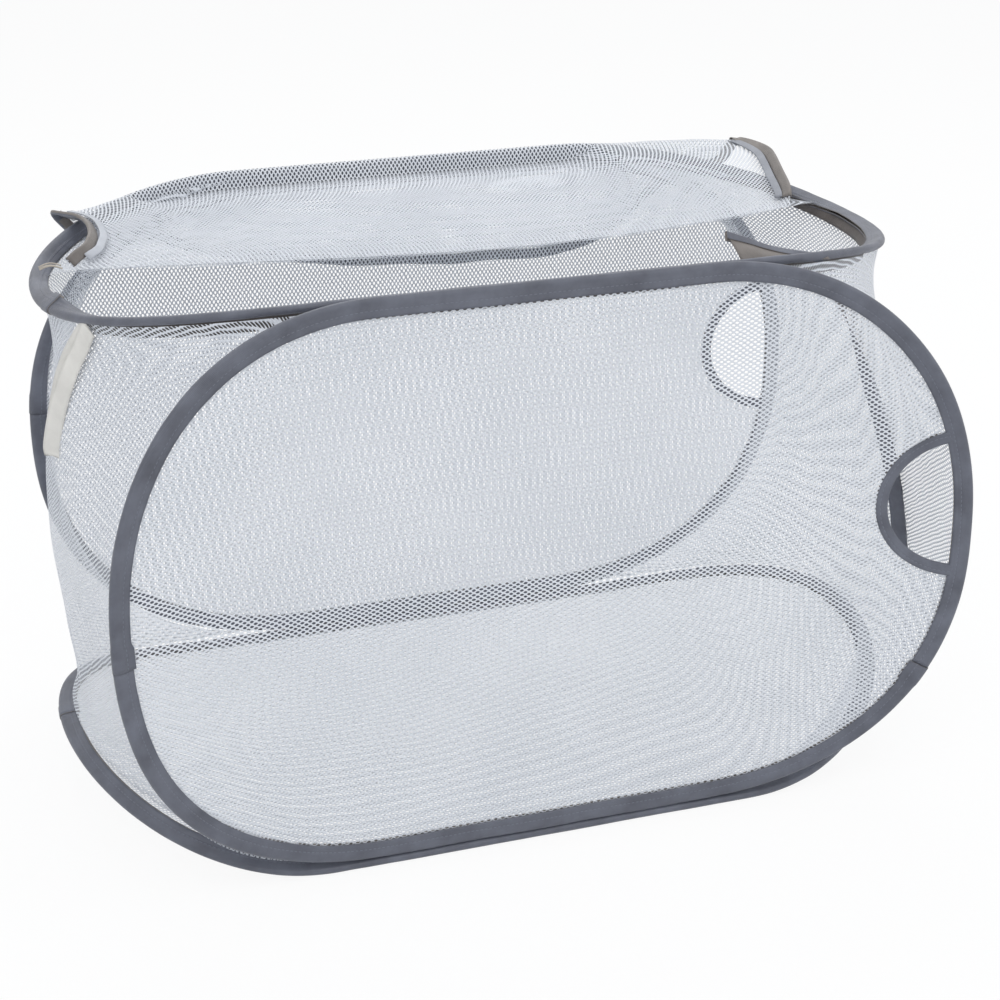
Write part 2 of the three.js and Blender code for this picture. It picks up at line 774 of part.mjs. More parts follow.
function lidHemGeometry(side) {
  const normals = gridNormals(lidGrid).slice(1, -1).map((row) => row[1 + side]);
  const points = lidGrid.slice(1, -1).map((row) => row[1 + side]);
  return sweptGeometry(edgeFrames(points, normals, -side), hemSection);
}

// The part of the flap that hangs behind the rim, in soft upright folds between two flat sides.
// The first row is at the bend, the others start where its hem starts.
const foldedHalf = drapeFoldPitch * drapeFoldCount / 2;

function drapeColumnsAt(half) {
  const xs = [];
  for (let k = -drapeColumns; k <= drapeColumns; k++) xs.push(foldedHalf * k / drapeColumns);
  for (let k = 1; k <= drapeSideColumns; k++) {
    const x = THREE.MathUtils.lerp(foldedHalf, half, k / drapeSideColumns);
    xs.unshift(-x);
    xs.push(x);
  }
  return xs;
}

function drapeRow(angle) {
  const distance = chordBehind + flapRound * Math.sin(angle);
  const hang = distance - lidLength;
  return drapeColumnsAt(flapHalfWidth(distance)).map((x) => {
    const folded = Math.min(Math.abs(x), foldedHalf);
    const fold = (Math.cos(Math.PI * drapeFoldCount) - Math.cos(2 * Math.PI * folded / drapeFoldPitch)) / 2;
    const swell = drapeFoldDepth * Math.abs(fold) * hang / (flapLength - lidLength);
    return new THREE.Vector3(x, bendY + swell, bendZ - hang);
  });
}

const drapeAngle = (hang) => Math.asin((lidLength + hang - chordBehind) / flapRound);
const drapeGrid = [drapeRow(drapeAngle(lidBendGap))];
for (let i = 0; i <= drapeRows; i++) {
  drapeGrid.push(drapeRow(THREE.MathUtils.lerp(drapeAngle(drapeHemStart), Math.PI / 2, i / drapeRows)));
}

function drapeHemGeometry() {
  const normals = gridNormals(drapeGrid);
  const last = drapeGrid.length - 1;
  const edge = [];
  for (let i = 1; i < last; i++) edge.push([i, 0]);
  for (let j = 0; j < drapeGrid[last].length; j++) edge.push([last, j]);
  for (let i = last - 1; i > 0; i--) edge.push([i, drapeGrid[i].length - 1]);
  const frames = edgeFrames(edge.map(([i, j]) => drapeGrid[i][j]), edge.map(([i, j]) => normals[i][j]), 1);
  return sweptGeometry(frames, hemSection);
}

// Materials and names

function fabric(colour) {
  return new THREE.MeshStandardMaterial({ color: colour, roughness: fabricRoughness, metalness: 0 });
}

function steel() {
  return new THREE.MeshStandardMaterial({ color: wireColour, roughness: wireRoughness, metalness: 1 });
}

const hamper = new THREE.Group();

function addMesh(name, mesh, material) {
  mesh.name = name;
  mesh.material = material;
  hamper.add(mesh);
}

function addPiece(name, geometry, material) {
  addMesh(name, new THREE.Mesh(geometry), material);
}

const hoops = { bottom: bottomHoop, front: frontHoop, back: backHoop, rim: rimHoop };
for (const [name, hoop] of Object.entries(hoops)) {
  addPiece(`${name}_hoop_wire`, wireGeometry(hoop), steel());
  addMesh(`${name}_hoop_ferrule`, ferruleMesh(hoop), steel());
}

const bindings = {
  bottom_binding: bindingGeometry(bottomHoop, bottomLapAngle, bottomLapAngle + 360),
  front_binding_upper: bindingGeometry(frontHoop, frontRightLapAngle, frontLeftLapAngle),
  front_binding_lower: bindingGeometry(frontHoop, frontLeftLapAngle, frontRightLapAngle + 360),
  back_binding: bindingGeometry(backHoop, backLapAngle, backLapAngle + 360),
  rim_binding: bindingGeometry(rimHoop, rimLapAngle, rimLapAngle + 360),
};
for (const [name, geometry] of Object.entries(bindings)) addPiece(name, geometry, fabric(tapeColour));

addPiece('bottom_mesh_panel', bottomPanelGeometry(), fabric(meshColour));
addPiece('front_mesh_panel', panelWithHandHole(frontHoop, frontHandHole), fabric(meshColour));
addPiece('back_mesh_panel', panelWithHandHole(backHoop, backHandHole), fabric(meshColour));
addPiece('front_handle_binding', handleGeometry(frontHoop, frontHandHole), fabric(tapeColour));
addPiece('back_handle_binding', handleGeometry(backHoop, backHandHole), fabric(tapeColour));

const leftGrid = gussetGrid(-1);
const rightGrid = gussetGrid(1);
addPiece('left_gusset', sheetGeometry(leftGrid, meshThickness), fabric(meshColour));
addPiece('right_gusset', sheetGeometry(rightGrid, meshThickness), fabric(meshColour));
addPiece('right_seam_tape', seamTapeGeometry(rightGrid), fabric(tapeColour));
addPiece('tie_ribbon', ribbonGeometry(leftGrid), fabric(ribbonColour));

addPiece('rear_top_mesh', rearTopGeometry(), fabric(meshColour));
addPiece('lid_mesh', sheetGeometry(lidGrid, meshThickness), fabric(meshColour));
addPiece('lid_left_hem', lidHemGeometry(-1), fabric(tapeColour));
addPiece('lid_right_hem', lidHemGeometry(1), fabric(tapeColour));
addPiece('lid_drape_mesh', sheetGeometry(drapeGrid, meshThickness), fabric(meshColour));
addPiece('lid_drape_hem', drapeHemGeometry(), fabric(tapeColour));

export default hamper;
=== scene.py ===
"""A pop-up laundry hamper: see-through net, tape folded round sprung hoops, and an open lid flap."""
import math

import bpy
import numpy as np
from mathutils import Matrix, Vector, noise
from mathutils.geometry import delaunay_2d_cdt


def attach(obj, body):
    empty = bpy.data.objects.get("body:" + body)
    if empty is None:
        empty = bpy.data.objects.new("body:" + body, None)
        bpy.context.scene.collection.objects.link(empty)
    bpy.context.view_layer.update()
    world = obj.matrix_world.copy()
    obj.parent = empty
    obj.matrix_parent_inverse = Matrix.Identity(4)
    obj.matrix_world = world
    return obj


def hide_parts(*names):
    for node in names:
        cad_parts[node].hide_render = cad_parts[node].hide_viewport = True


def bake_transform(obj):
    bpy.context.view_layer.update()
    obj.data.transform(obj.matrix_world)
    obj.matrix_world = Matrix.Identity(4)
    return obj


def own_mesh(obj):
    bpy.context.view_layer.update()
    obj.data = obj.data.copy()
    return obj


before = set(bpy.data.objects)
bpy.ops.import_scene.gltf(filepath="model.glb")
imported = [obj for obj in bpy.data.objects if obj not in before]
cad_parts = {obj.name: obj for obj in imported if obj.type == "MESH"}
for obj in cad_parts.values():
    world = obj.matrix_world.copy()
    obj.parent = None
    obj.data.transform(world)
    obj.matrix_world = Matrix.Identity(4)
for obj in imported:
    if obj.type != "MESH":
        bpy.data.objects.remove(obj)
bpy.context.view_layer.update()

X = np.array([1.0, 0.0, 0.0])
Y = np.array([0.0, 1.0, 0.0])
Z = np.array([0.0, 0.0, 1.0])

# Camera, fitted to the four hoops of the photograph
eye = np.array([-0.3722, -1.2710, 0.7257])
yaw, pitch, roll = 0.300563, 0.393630, -0.012962
focal_share, sensor_mm = 1.97183, 36
ahead = np.array([math.sin(yaw) * math.cos(pitch), math.cos(yaw) * math.cos(pitch), -math.sin(pitch)])
level = np.array([math.cos(yaw), -math.sin(yaw), 0.0])
upward = np.cross(level, ahead)
right = level * math.cos(roll) + upward * math.sin(roll)
above = upward * math.cos(roll) - level * math.sin(roll)
camera_data = bpy.data.cameras.new("camera")
camera = bpy.data.objects.new("camera", camera_data)
bpy.context.scene.collection.objects.link(camera)
camera_data.sensor_width = sensor_mm
camera_data.lens = focal_share * sensor_mm
camera_data.clip_start = 0.05
camera_data.clip_end = 50
camera.matrix_world = Matrix([*np.c_[right, above, -ahead, eye], (0, 0, 0, 1)])
bpy.context.scene.camera = camera

# Sizes repeated from the part's source, in metres
bulb_radius = 0.0028062
binding_half = 0.00635
leg_gap = 0.00075
tape_thickness = 0.0007
stand_y, stand_z = 0.17819382, 0.00591237
upright_run, upright_roundness = 0.202, 2.28
level_roundness = 2.1
front_length, front_height, front_bow = 0.570, 0.385, 0.033
back_length, back_height, back_shift = 0.622, 0.37758763, 0.015
rim_length, rim_depth, rim_run, rim_bow = 0.592, 0.35608763, 0.250, 0.024
bottom_length, bottom_depth, bottom_run, bottom_bow = 0.614, 0.362, 0.294, 0.046
rim_y, rim_z = 0.00295618, 0.38660618
chord_y, chord_z = 0.032, 0.36496987
lid_start_z = 0.36606987
bulb_centre = binding_half - bulb_radius
hem_radius = leg_gap + tape_thickness
hem_width = 0.008


def lengths_along(line):
    """Distance from the first point of a line to each of its points."""
    return np.pad(np.cumsum(np.linalg.norm(np.diff(line, axis=0), axis=1)), (1, 0))


def resampled(line, away, at):
    """Values of a line at other distances along it."""
    return np.stack([np.interp(at, away, column) for column in line.T], -1)


def unit(rows):
    return rows / np.maximum(np.linalg.norm(rows, axis=-1), 1e-12)[..., None]


def smooth_curve(at, places, values):
    """A smooth curve through given values."""
    places, values = np.array(places, float), np.array(values, float)
    slopes = np.gradient(values, places)
    i = np.clip(np.searchsorted(places, at) - 1, 0, len(places) - 2)
    gap = places[i + 1] - places[i]
    t = np.clip((at - places[i]) / gap, 0, 1)
    return ((2 * t ** 3 - 3 * t ** 2 + 1) * values[i] + (t ** 3 - 2 * t ** 2 + t) * gap * slopes[i]
            + (3 * t ** 2 - 2 * t ** 3) * values[i + 1] + (t ** 3 - t ** 2) * gap * slopes[i + 1])


class Hoop:
    """A hoop's line: straight runs, and superellipse ends that bow out of its plane."""

    def __init__(self, length, across_size, run, roundness, centre, across, out, bow):
        self.reach = length / 2 - binding_half
        self.rise = across_size / 2 - binding_half
        self.run = run / 2
        self.n = roundness
        self.centre = np.array(centre)
        self.across, self.out, self.bow = across, out, bow

    def lift(self, u):
        """How far the line bows out at u, and its slope there."""
        end = self.reach - self.run
        beyond = np.maximum(0, np.abs(u) - self.run) / end
        return self.bow * beyond ** 2, np.sign(u) * 2 * self.bow * beyond / end

    def point(self, u, v):
        lift, _ = self.lift(u)
        return self.centre + u[..., None] * X + v[..., None] * self.across + lift[..., None] * self.out

    def outline(self, start, stop, step, inset=0.0):
        """Even points (u, v) of the line from one angle to a larger one, all in degrees.

        Returns the points, their outward directions, their distances along the line and their angles.
        """
        rows = []
        for d in np.arange(start, stop + 1e-9, 0.25):
            c, s = math.cos(math.radians(d)), math.sin(math.radians(d))
            scale = (abs(c) ** self.n + abs(s) ** self.n) ** (-1 / self.n)
            sides = [1 if c > 0 else -1]
            if abs(c) < 1e-9:
                sides = [1, -1] if s > 0 else [-1, 1]
            for side in sides:
                u = side * (self.run + (self.reach - self.run) * abs(c) * scale)
                rows.append((u, self.rise * s * scale, d))
        line = np.array(rows)
        gaps = np.linalg.norm(np.diff(line[:, :2], axis=0), axis=1)
        line = line[np.concatenate([[True], gaps > 1e-7])]
        away = lengths_along(line[:, :2])
        at = np.linspace(0, away[-1], max(8, round(away[-1] / step)) + 1)
        even = resampled(line, away, at)
        tangent = unit(np.gradient(even[:, :2], axis=0))
        outward = np.c_[tangent[:, 1], -tangent[:, 0]]
        return even[:, :2] - inset * outward, outward, at, even[:, 2]

    def frames(self, uv, outward):
        """Points in space with their outward directions and the hoop's normal."""
        _, slope = self.lift(uv[:, 0])
        normal = unit(self.out - slope[:, None] * X)
        bowed = (slope * outward[:, 0])[:, None] * self.out
        flat = unit(outward[:, :1] * X + outward[:, 1:] * self.across + bowed)
        return self.point(uv[:, 0], uv[:, 1]), flat, normal

    def rise_at(self, x, wider=0.0):
        """How far the line rises over the hoop's middle at x, once made wider all round."""
        beyond = np.clip((np.abs(x - self.centre[0]) - self.run) / (self.reach + wider - self.run), 0, 1)
        return (self.rise + wider) * (1 - beyond ** self.n) ** (1 / self.n)

    def half_width(self, v, inset=0.0):
        share = np.minimum(1, np.abs(v) / (self.rise - inset))
        return self.run + (self.reach - self.run - inset) * (1 - share ** self.n) ** (1 / self.n)


front = Hoop(front_length, front_height, upright_run, upright_roundness,
             (0, -stand_y, stand_z + front_height / 2), Z, -Y, front_bow)
back = Hoop(back_length, back_height, upright_run, upright_roundness,
            (back_shift, stand_y, stand_z + back_height / 2), Z, Y, 0.0)
rim = Hoop(rim_length, rim_depth, rim_run, level_roundness, (0, rim_y, rim_z), Y, -Z, rim_bow)
bottom = Hoop(bottom_length, bottom_depth, bottom_run, level_roundness,
              (0, 0, bulb_radius), Y, -Z, -bottom_bow)


# Mesh helpers
def build(name, points, faces, uvs=None):
    """An object from points, faces and one flat coordinate per point."""
    mesh = bpy.data.meshes.new(name)
    mesh.from_pydata([tuple(p) for p in points], [], [tuple(f) for f in faces])
    if uvs is not None:
        layer = mesh.uv_layers.new(name="flat")
        index = np.empty(len(mesh.loops), dtype=np.int32)
        mesh.loops.foreach_get("vertex_index", index)
        layer.data.foreach_set("uv", np.asarray(uvs, float)[index].ravel())
    mesh.polygons.foreach_set("use_smooth", [True] * len(mesh.polygons))
    mesh.update()
    obj = bpy.data.objects.new(name, mesh)
    bpy.context.scene.collection.objects.link(obj)
    return obj


def grid_faces(rows, columns, around=False):
    faces = []
    for i in range(rows - 1):
        for j in range(columns if around else columns - 1):
            k = (j + 1) % columns
            faces.append((i * columns + j, i * columns + k, (i + 1) * columns + k, (i + 1) * columns + j))
    return faces


def closed_faces(rows, columns):
    """Faces of a flat ring along a line, with caps that join its two halves at each end."""
    faces = grid_faces(rows, columns, around=True)
    for row in (0, rows - 1):
        first = row * columns
        last = first + columns - 1
        for j in range(columns // 2 - 1):
            corners = (first + j, first + j + 1, last - 1 - j, last - j)
            faces.append(corners if row else corners[::-1])
    return faces


def flat_grid(along, across):
    return np.stack(np.meshgrid(along, across, indexing="ij"), -1)


def thin_solid(name, top, under, flat):
    """A closed solid between two grids of points that share their flat coordinates."""
    ring = np.concatenate([top, under[:, ::-1]], axis=1)
    uvs = np.concatenate([flat, flat[:, ::-1]], axis=1)
    return build(name, ring.reshape(-1, 3), closed_faces(*ring.shape[:2]), uvs.reshape(-1, 2))


def set_materials(obj, one_row, rows, caps):
    """Material numbers for the faces between rows, alike in each row, and one for the caps."""
    numbers = one_row * (rows - 1)
    numbers += [caps] * (len(obj.data.polygons) - len(numbers))
    obj.data.polygons.foreach_set("material_index", numbers)


def wobble(points, size, seed, stretch=(1, 1, 1)):
    """A smooth number from -1 to 1 at each point, from noise of that size, drawn out where stretch is low."""
    shift = Vector((seed, seed * 1.7, seed * 0.6))
    rows = (points * np.array(stretch)).reshape(-1, 3)
    return np.array([noise.noise(Vector(p) / size + shift) for p in rows]).reshape(points.shape[:-1])


def tape_section(outer, width, radius):
    """The C section of a folded tape: its outer side, then its inner side back, and lengths along them."""
    leg_points, arc_points, inner_share = 6, 7, 0.78
    centre = outer - radius
    inner_edge = outer - width
    top = []
    for t in np.linspace(0, 1, leg_points):
        ease = 3 * t * t - 2 * t ** 3
        top.append((inner_edge + (centre - inner_edge) * t, hem_radius + (radius - hem_radius) * ease))
    arc = [(centre + radius * math.cos(a), radius * math.sin(a))
           for a in np.linspace(math.pi / 2, -math.pi / 2, arc_points + 2)[1:-1]]
    outside = top + arc + [(x, -y) for x, y in reversed(top)]
    thin = inner_share * tape_thickness
    scale = (radius - thin) / radius
    lining = []
    for x, y in reversed(outside):
        if x > centre:
            lining.append((centre + (x - centre) * scale, y * scale))
        else:
            lining.append((x, math.copysign(abs(y) - thin, y)))
    lengths = lengths_along(np.array(outside))
    lengths -= lengths[-1] / 2
    return np.array(outside + lining), np.concatenate([lengths, lengths[::-1]])


# Share of the puckers' height and the size of the small, the broad and the sideways ones
pucker_kinds = ((0.6, 0.011), (0.8, 0.034), (0.96, 0.05))


def sweep(name, origin, outward, normal, along, shape, puckers, seed, swell=None):
    """A tape swept along frames, with puckers and uneven edges; its inner side is material 1."""
    section, lengths = shape
    rows, columns = len(origin), len(section)
    swell = np.ones(rows) if swell is None else swell
    section_x, section_y = section.T
    middle = section_x.max() - section_y.max()
    reach = middle + (section_x - middle)[None, :] * swell[:, None]
    height = section_y[None, :] * swell[:, None]
    points = origin[:, None] + outward[:, None] * reach[..., None] + normal[:, None] * height[..., None]
    (small, small_size), (broad, broad_size), (side, side_size) = pucker_kinds
    bump = puckers * (small * wobble(points, small_size, seed)
                      + broad * wobble(points, broad_size, seed + 3))
    points = points + normal[:, None] * np.sign(section_y)[None, :, None] * bump[..., None]
    slide = side * puckers * wobble(origin, side_size, seed + 8)
    points = points + outward[:, None] * slide[:, None, None]
    uvs = flat_grid(along, lengths).reshape(-1, 2)
    obj = build(name, points.reshape(-1, 3), closed_faces(rows, columns), uvs)
    half = columns // 2
    set_materials(obj, [0] * (half - 1) + [1] * half + [0], rows, 1)
    return obj


def turned(origin, outward, normal, tilt):
    """Frames turned about the wire, so that the tape's open side moves along its normal."""
    tilt = tilt[:, None]
    new_outward = outward * np.cos(tilt) - normal * np.sin(tilt)
    new_normal = normal * np.cos(tilt) + outward * np.sin(tilt)
    return origin + (outward - new_outward) * bulb_centre, new_outward, new_normal


def inside(points, loop):
    """True for each point inside a closed loop."""
    result = np.zeros(len(points), bool)
    x, y = points[:, 0], points[:, 1]
    for (x1, y1), (x2, y2) in zip(loop, np.roll(loop, -1, axis=0)):
        if y1 == y2:
            continue
        crosses = (y1 > y) != (y2 > y)
        result ^= crosses & (x < (x2 - x1) * (y - y1) / (y2 - y1) + x1)
    return result


def panel(name, border, place, spacing):
    """A sheet of near-even triangles inside a border of points (u, v), put in space by place(flat)."""
    row_share, jitter_share, clear_share = 0.866, 0.02, 0.55
    low, high = border.min(axis=0), border.max(axis=0)
    rows = int((high[1] - low[1]) / (spacing * row_share)) + 1
    columns = int((high[0] - low[0]) / spacing) + 1
    inner = np.array([(low[0] + (i + 0.5 * (j % 2)) * spacing, low[1] + j * spacing * row_share)
                      for j in range(rows) for i in range(columns)])
    inner += np.random.default_rng(7).normal(0, spacing * jitter_share, inner.shape)
    keep = inside(inner, border)
    for p in border[::2]:
        keep &= np.linalg.norm(inner - p, axis=1) > spacing * clear_share
    points = [Vector(p) for p in np.concatenate([border, inner[keep]])]
    edges = [(k, (k + 1) % len(border)) for k in range(len(border))]
    result = delaunay_2d_cdt(points, edges, [], 0, 1e-7)
    flat = np.array([tuple(p) for p in result[0]])
    faces = np.array([tuple(f) for f in result[2]])
    faces = faces[inside(flat[faces].mean(axis=1), border)]
    return build(name, place(flat), faces, flat)


def turn_net(obj):
    """Turns the net of a piece by a right angle, for cloth cut across the roll."""
    layer = obj.data.uv_layers["flat"].data
    values = np.empty(2 * len(layer))
    layer.foreach_get("uv", values)
    layer.foreach_set("uv", values.reshape(-1, 2)[:, ::-1].ravel())


# Materials
class Graph:
    """The shader nodes of a material or a world, at first only the output."""

    def __init__(self, owner, output="ShaderNodeOutputMaterial"):
        owner.use_nodes = True
        self.nodes, self.links = owner.node_tree.nodes, owner.node_tree.links
        self.nodes.clear()
        self.output = self.nodes.new(output)

    def feed(self, slot, item):
        """Gives an input a number, a colour or another node's output."""
        if isinstance(item, bpy.types.NodeSocket):
            self.links.new(item, slot)
        else:
            slot.default_value = item

    def add(self, kind, **inputs):
        """A node with these inputs; an underscore stands for a space in an input's name."""
        node = self.nodes.new(kind)
        for name, item in inputs.items():
            self.feed(node.inputs[name.replace("_", " ")], item)
        return node

    def math(self, operation, *inputs, clamp=False):
        node = self.nodes.new("ShaderNodeMath")
        node.operation = operation
        node.use_clamp = clamp
        for slot, item in zip(node.inputs, inputs):
            self.feed(slot, item)
        return node.outputs[0]

    def noise(self, vector, **inputs):
        return self.add("ShaderNodeTexNoise", Vector=vector, **inputs).outputs[0]

    def ramp(self, source, shade, pale, spread):
        """A colour from shade to pale, as the source goes through that spread about its middle."""
        node = self.nodes.new("ShaderNodeValToRGB")
        first, last = node.color_ramp.elements
        first.position, first.color = 0.5 - spread, (*shade, 1)
        last.position, last.color = 0.5 + spread, (*pale, 1)
        self.links.new(source, node.inputs[0])
        return node.outputs[0]

    def flat_coordinates(self):
        coordinates = self.nodes.new("ShaderNodeUVMap")
        coordinates.uv_map = "flat"
        split = self.add("ShaderNodeSeparateXYZ", Vector=coordinates.outputs[0])
        return coordinates.outputs[0], split.outputs[0], split.outputs[1]

    def blend(self, share, first, second):
        node = self.nodes.new("ShaderNodeMixShader")
        for slot, item in zip(node.inputs, (share, first, second)):
            self.feed(slot, item)
        self.links.new(node.outputs[0], self.output.inputs[0])


def material(name, **inputs):
    """A new material with one principled shader."""
    made = bpy.data.materials.new(name)
    graph = Graph(made)
    shader = graph.add("ShaderNodeBsdfPrincipled", **inputs)
    graph.links.new(shader.outputs[0], graph.output.inputs[0])
    return made, graph, shader.inputs


# Distance from hole to hole and half size of a hole, along u and along v
hole_sizes = ((0.0049, 0.00128), (0.0032, 0.00078))
hole_power = 1.7
hole_drift = 0.0016
thread_gain, thread_start, thread_height = 2.5, -2.0, 3.0


def net_material(name, pale, shade):
    """Open knitted net: oval holes in staggered rows, with thread colour between them."""
    made, graph, inputs = material(name, Roughness=0.62, Specular_IOR_Level=0.3)
    vector, u, v = graph.flat_coordinates()
    grain = graph.noise(vector, Scale=90, Detail=1)
    drift = graph.math("MULTIPLY", graph.math("SUBTRACT", grain, 0.5), hole_drift)
    places = [graph.math("ADD", place, drift) for place in (u, v)]
    closest = None
    for shift in (0.0, 0.5):
        parts = []
        for place, (spacing, half) in zip(places, hole_sizes):
            cells = graph.math("MULTIPLY_ADD", place, 1 / spacing, shift + 100)
            middle = graph.math("SUBTRACT", graph.math("FRACT", cells), 0.5)
            away = graph.math("ABSOLUTE", graph.math("MULTIPLY", middle, spacing / half))
            parts.append(graph.math("POWER", away, hole_power))
        both = graph.math("ADD", *parts)
        closest = both if closest is None else graph.math("MINIMUM", closest, both)
    graph.feed(inputs["Alpha"], graph.math("MULTIPLY_ADD", closest, thread_gain, thread_start, clamp=True))
    mottle = graph.noise(vector, Scale=9, Detail=3)
    graph.feed(inputs["Base Color"], graph.ramp(mottle, shade, pale, 0.2))
    height = graph.math("MINIMUM", closest, thread_height)
    bump = graph.add("ShaderNodeBump", Strength=0.5, Distance=0.0004, Height=height)
    graph.feed(inputs["Normal"], bump.outputs[0])
    return made


rib_pitch, stitch_pitch = 0.0007, 0.0031
stitch_half, groove_half = 0.0004, 0.0011
binding_stitch, hem_stitch = 0.0096, 0.0062
rib_height, soft_height, stitch_height = 0.12, 1.6, 0.9
dash_gain, dash_start, thread_brightness = 3.0, 1.2, 1.15


def tape_material(name, pale, shade, stitch=None, roughness=0.44):
    """Woven polyester tape: fine cross ribs, soft shading and, with stitch, stitches near each edge."""
    made, graph, inputs = material(name, Roughness=roughness, Specular_IOR_Level=0.4,
                                   Sheen_Weight=0.06, Sheen_Roughness=0.4)
    vector, u, v = graph.flat_coordinates()
    soft = graph.noise(vector, Scale=38, Detail=4, Roughness=0.6)
    colour = graph.ramp(soft, shade, pale, 0.22)
    ribs = graph.math("SINE", graph.math("MULTIPLY", u, 2 * math.pi / rib_pitch))
    height = graph.math("MULTIPLY_ADD", ribs, rib_height, 0.5)
    height = graph.math("MULTIPLY_ADD", soft, soft_height, height)
    if stitch:
        away = graph.math("SUBTRACT", graph.math("ABSOLUTE", v), stitch)
        away = graph.math("ABSOLUTE", away)
        line, groove = (graph.math("SUBTRACT", 1.0, graph.math("MULTIPLY", away, 1 / half), clamp=True)
                        for half in (stitch_half, groove_half))
        dash = graph.math("SINE", graph.math("MULTIPLY", u, 2 * math.pi / stitch_pitch))
        dash = graph.math("MULTIPLY_ADD", dash, dash_gain, dash_start, clamp=True)
        thread_share = graph.math("MULTIPLY", line, dash)
        height = graph.math("SUBTRACT", height, graph.math("MULTIPLY", groove, stitch_height))
        height = graph.math("MULTIPLY_ADD", thread_share, stitch_height, height)
        mix = graph.nodes.new("ShaderNodeMix")
        mix.data_type = "RGBA"
        graph.feed(mix.inputs[0], thread_share)
        graph.feed(mix.inputs[6], colour)
        mix.inputs[7].default_value = (*[thread_brightness * c for c in pale], 1)
        colour = mix.outputs[2]
    graph.feed(inputs["Base Color"], colour)
    bump = graph.add("ShaderNodeBump", Strength=0.6, Distance=0.0005, Height=height)
    graph.feed(inputs["Normal"], bump.outputs[0])
    return made


def steel_material():
    made, graph, inputs = material("spring_steel_wire", Metallic=1, Roughness=0.32)
    place = graph.nodes.new("ShaderNodeTexCoord").outputs["Object"]
    grain = graph.noise(place, Scale=220)
    graph.feed(inputs["Base Color"], graph.ramp(grain, (0.30, 0.31, 0.32), (0.48, 0.49, 0.50), 0.2))
    return made


grey_pale, grey_shade = (0.150, 0.160, 0.196), (0.085, 0.090, 0.112)
net = net_material("net_white", (0.78, 0.80, 0.84), (0.70, 0.725, 0.77))
grey = tape_material("tape_grey", grey_pale, grey_shade, stitch=binding_stitch)
plain_grey = tape_material("tape_grey_plain", grey_pale, grey_shade)
narrow_grey = tape_material("tape_grey_narrow", grey_pale, grey_shade, stitch=hem_stitch)
taupe = tape_material("tape_reverse", (0.235, 0.212, 0.196), (0.145, 0.130, 0.120))
# The tape's reverse again, darker: painted shade for the seam strip that hangs in shadow inside the rim
shaded_taupe = tape_material("tape_reverse_painted_shade", (0.130, 0.112, 0.102), (0.075, 0.065, 0.060))
# Opaque stand-ins for the white net where it folds beside the flap's hems, darkened with painted shade; the
# second is deeper, for the right side
folded = tape_material("net_folded_painted_shade", (0.56, 0.58, 0.62), (0.44, 0.46, 0.50), roughness=0.6)
deep_shaded_fold = tape_material("net_folded_deep_painted_shade", (0.34, 0.355, 0.39), (0.24, 0.25, 0.28), roughness=0.6)
cream = tape_material("ribbon_satin", (0.80, 0.78, 0.73), (0.66, 0.64, 0.60), roughness=0.36)
beige = tape_material("thread_beige", (0.52, 0.47, 0.40), (0.42, 0.37, 0.31))
steel = steel_material()


def dress(piece, slot, *materials, nodes=(), body=None):
    """Gives a piece its materials, the solids it stands for and the body it rides on; its slot is not used.
    """
    for item in materials:
        piece.data.materials.append(item)
    if nodes:
        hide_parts(*nodes)
    if body:
        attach(piece, body)
    return piece


def crumple(piece):
    """Gives a piece its own copy of its mesh."""
    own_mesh(piece)


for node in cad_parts.values():
    if node.name.endswith(("_wire", "_ferrule")):
        node.data.materials.clear()
        node.data.materials.append(steel)

# Binding tapes, each from one lap round its hoop to the next, in degrees
tapes = [
    ("front_tape_upper", front, -31, 183.5, "front_binding_upper", "front"),
    ("front_tape_lower", front, 183.5, 329, "front_binding_lower", "front"),
    ("back_tape", back, 173, 533, "back_binding", "back"),
    ("rim_tape", rim, 197, 557, "rim_binding", "top"),
    ("bottom_tape", bottom, 180, 540, "bottom_binding", "bottom"),
]
# How far a tape's open side leans along its hoop's normal, in degrees at each angle round the hoop.
# Both normals point down: the rim's tape hangs at the rear, the bottom's stands up at the left end.
rim_lean = [(197, -30), (201, 0), (206, 20), (215, 24), (320, 24), (345, 10), (360, 8), (372, 22), (384, 34),
            (397, 50), (410, 80), (482, 80), (500, 48), (512, 45), (525, 35), (540, 0), (557, -30)]
bottom_lean = [(180, -45), (198, -74), (232, -74), (255, -40), (285, -20), (330, -12), (360, -16), (450, 0),
               (510, -20), (540, -45)]
leans = {"rim_tape": rim_lean, "bottom_tape": bottom_lean}
tape_step, tape_puckers = 0.0035, 0.00034
lap_length, lap_start, lap_swell = 0.016, 0.003, 0.15


def binding(name, hoop, start, stop, seed):
    """A hoop's binding tape, swollen at its end, where it lies over the next length's start."""
    uv, outward, along, angle = hoop.outline(start, stop, tape_step)
    origin, flat, normal = hoop.frames(uv, outward)
    lean = 0.05 * wobble(origin, 0.12, seed + 20)
    if name in leans:
        lean = lean + np.radians(np.interp(angle, *zip(*leans[name])))
    origin, flat, normal = turned(origin, flat, normal, lean)
    left = along[-1] - along
    swell = 1 + lap_swell * np.clip((lap_length - left) / lap_start + 0.5, 0, 1)
    shape = tape_section(binding_half, 2 * binding_half, bulb_radius)
    return sweep(name, origin, flat, normal, along, shape, tape_puckers, seed, swell)


for order, (name, hoop, start, stop, node, body) in enumerate(tapes):
    piece = binding(name, hoop, start, stop, 3.1 * order + 1)
    dress(piece, "binding_tape", grey, taupe, nodes=[node], body=body)

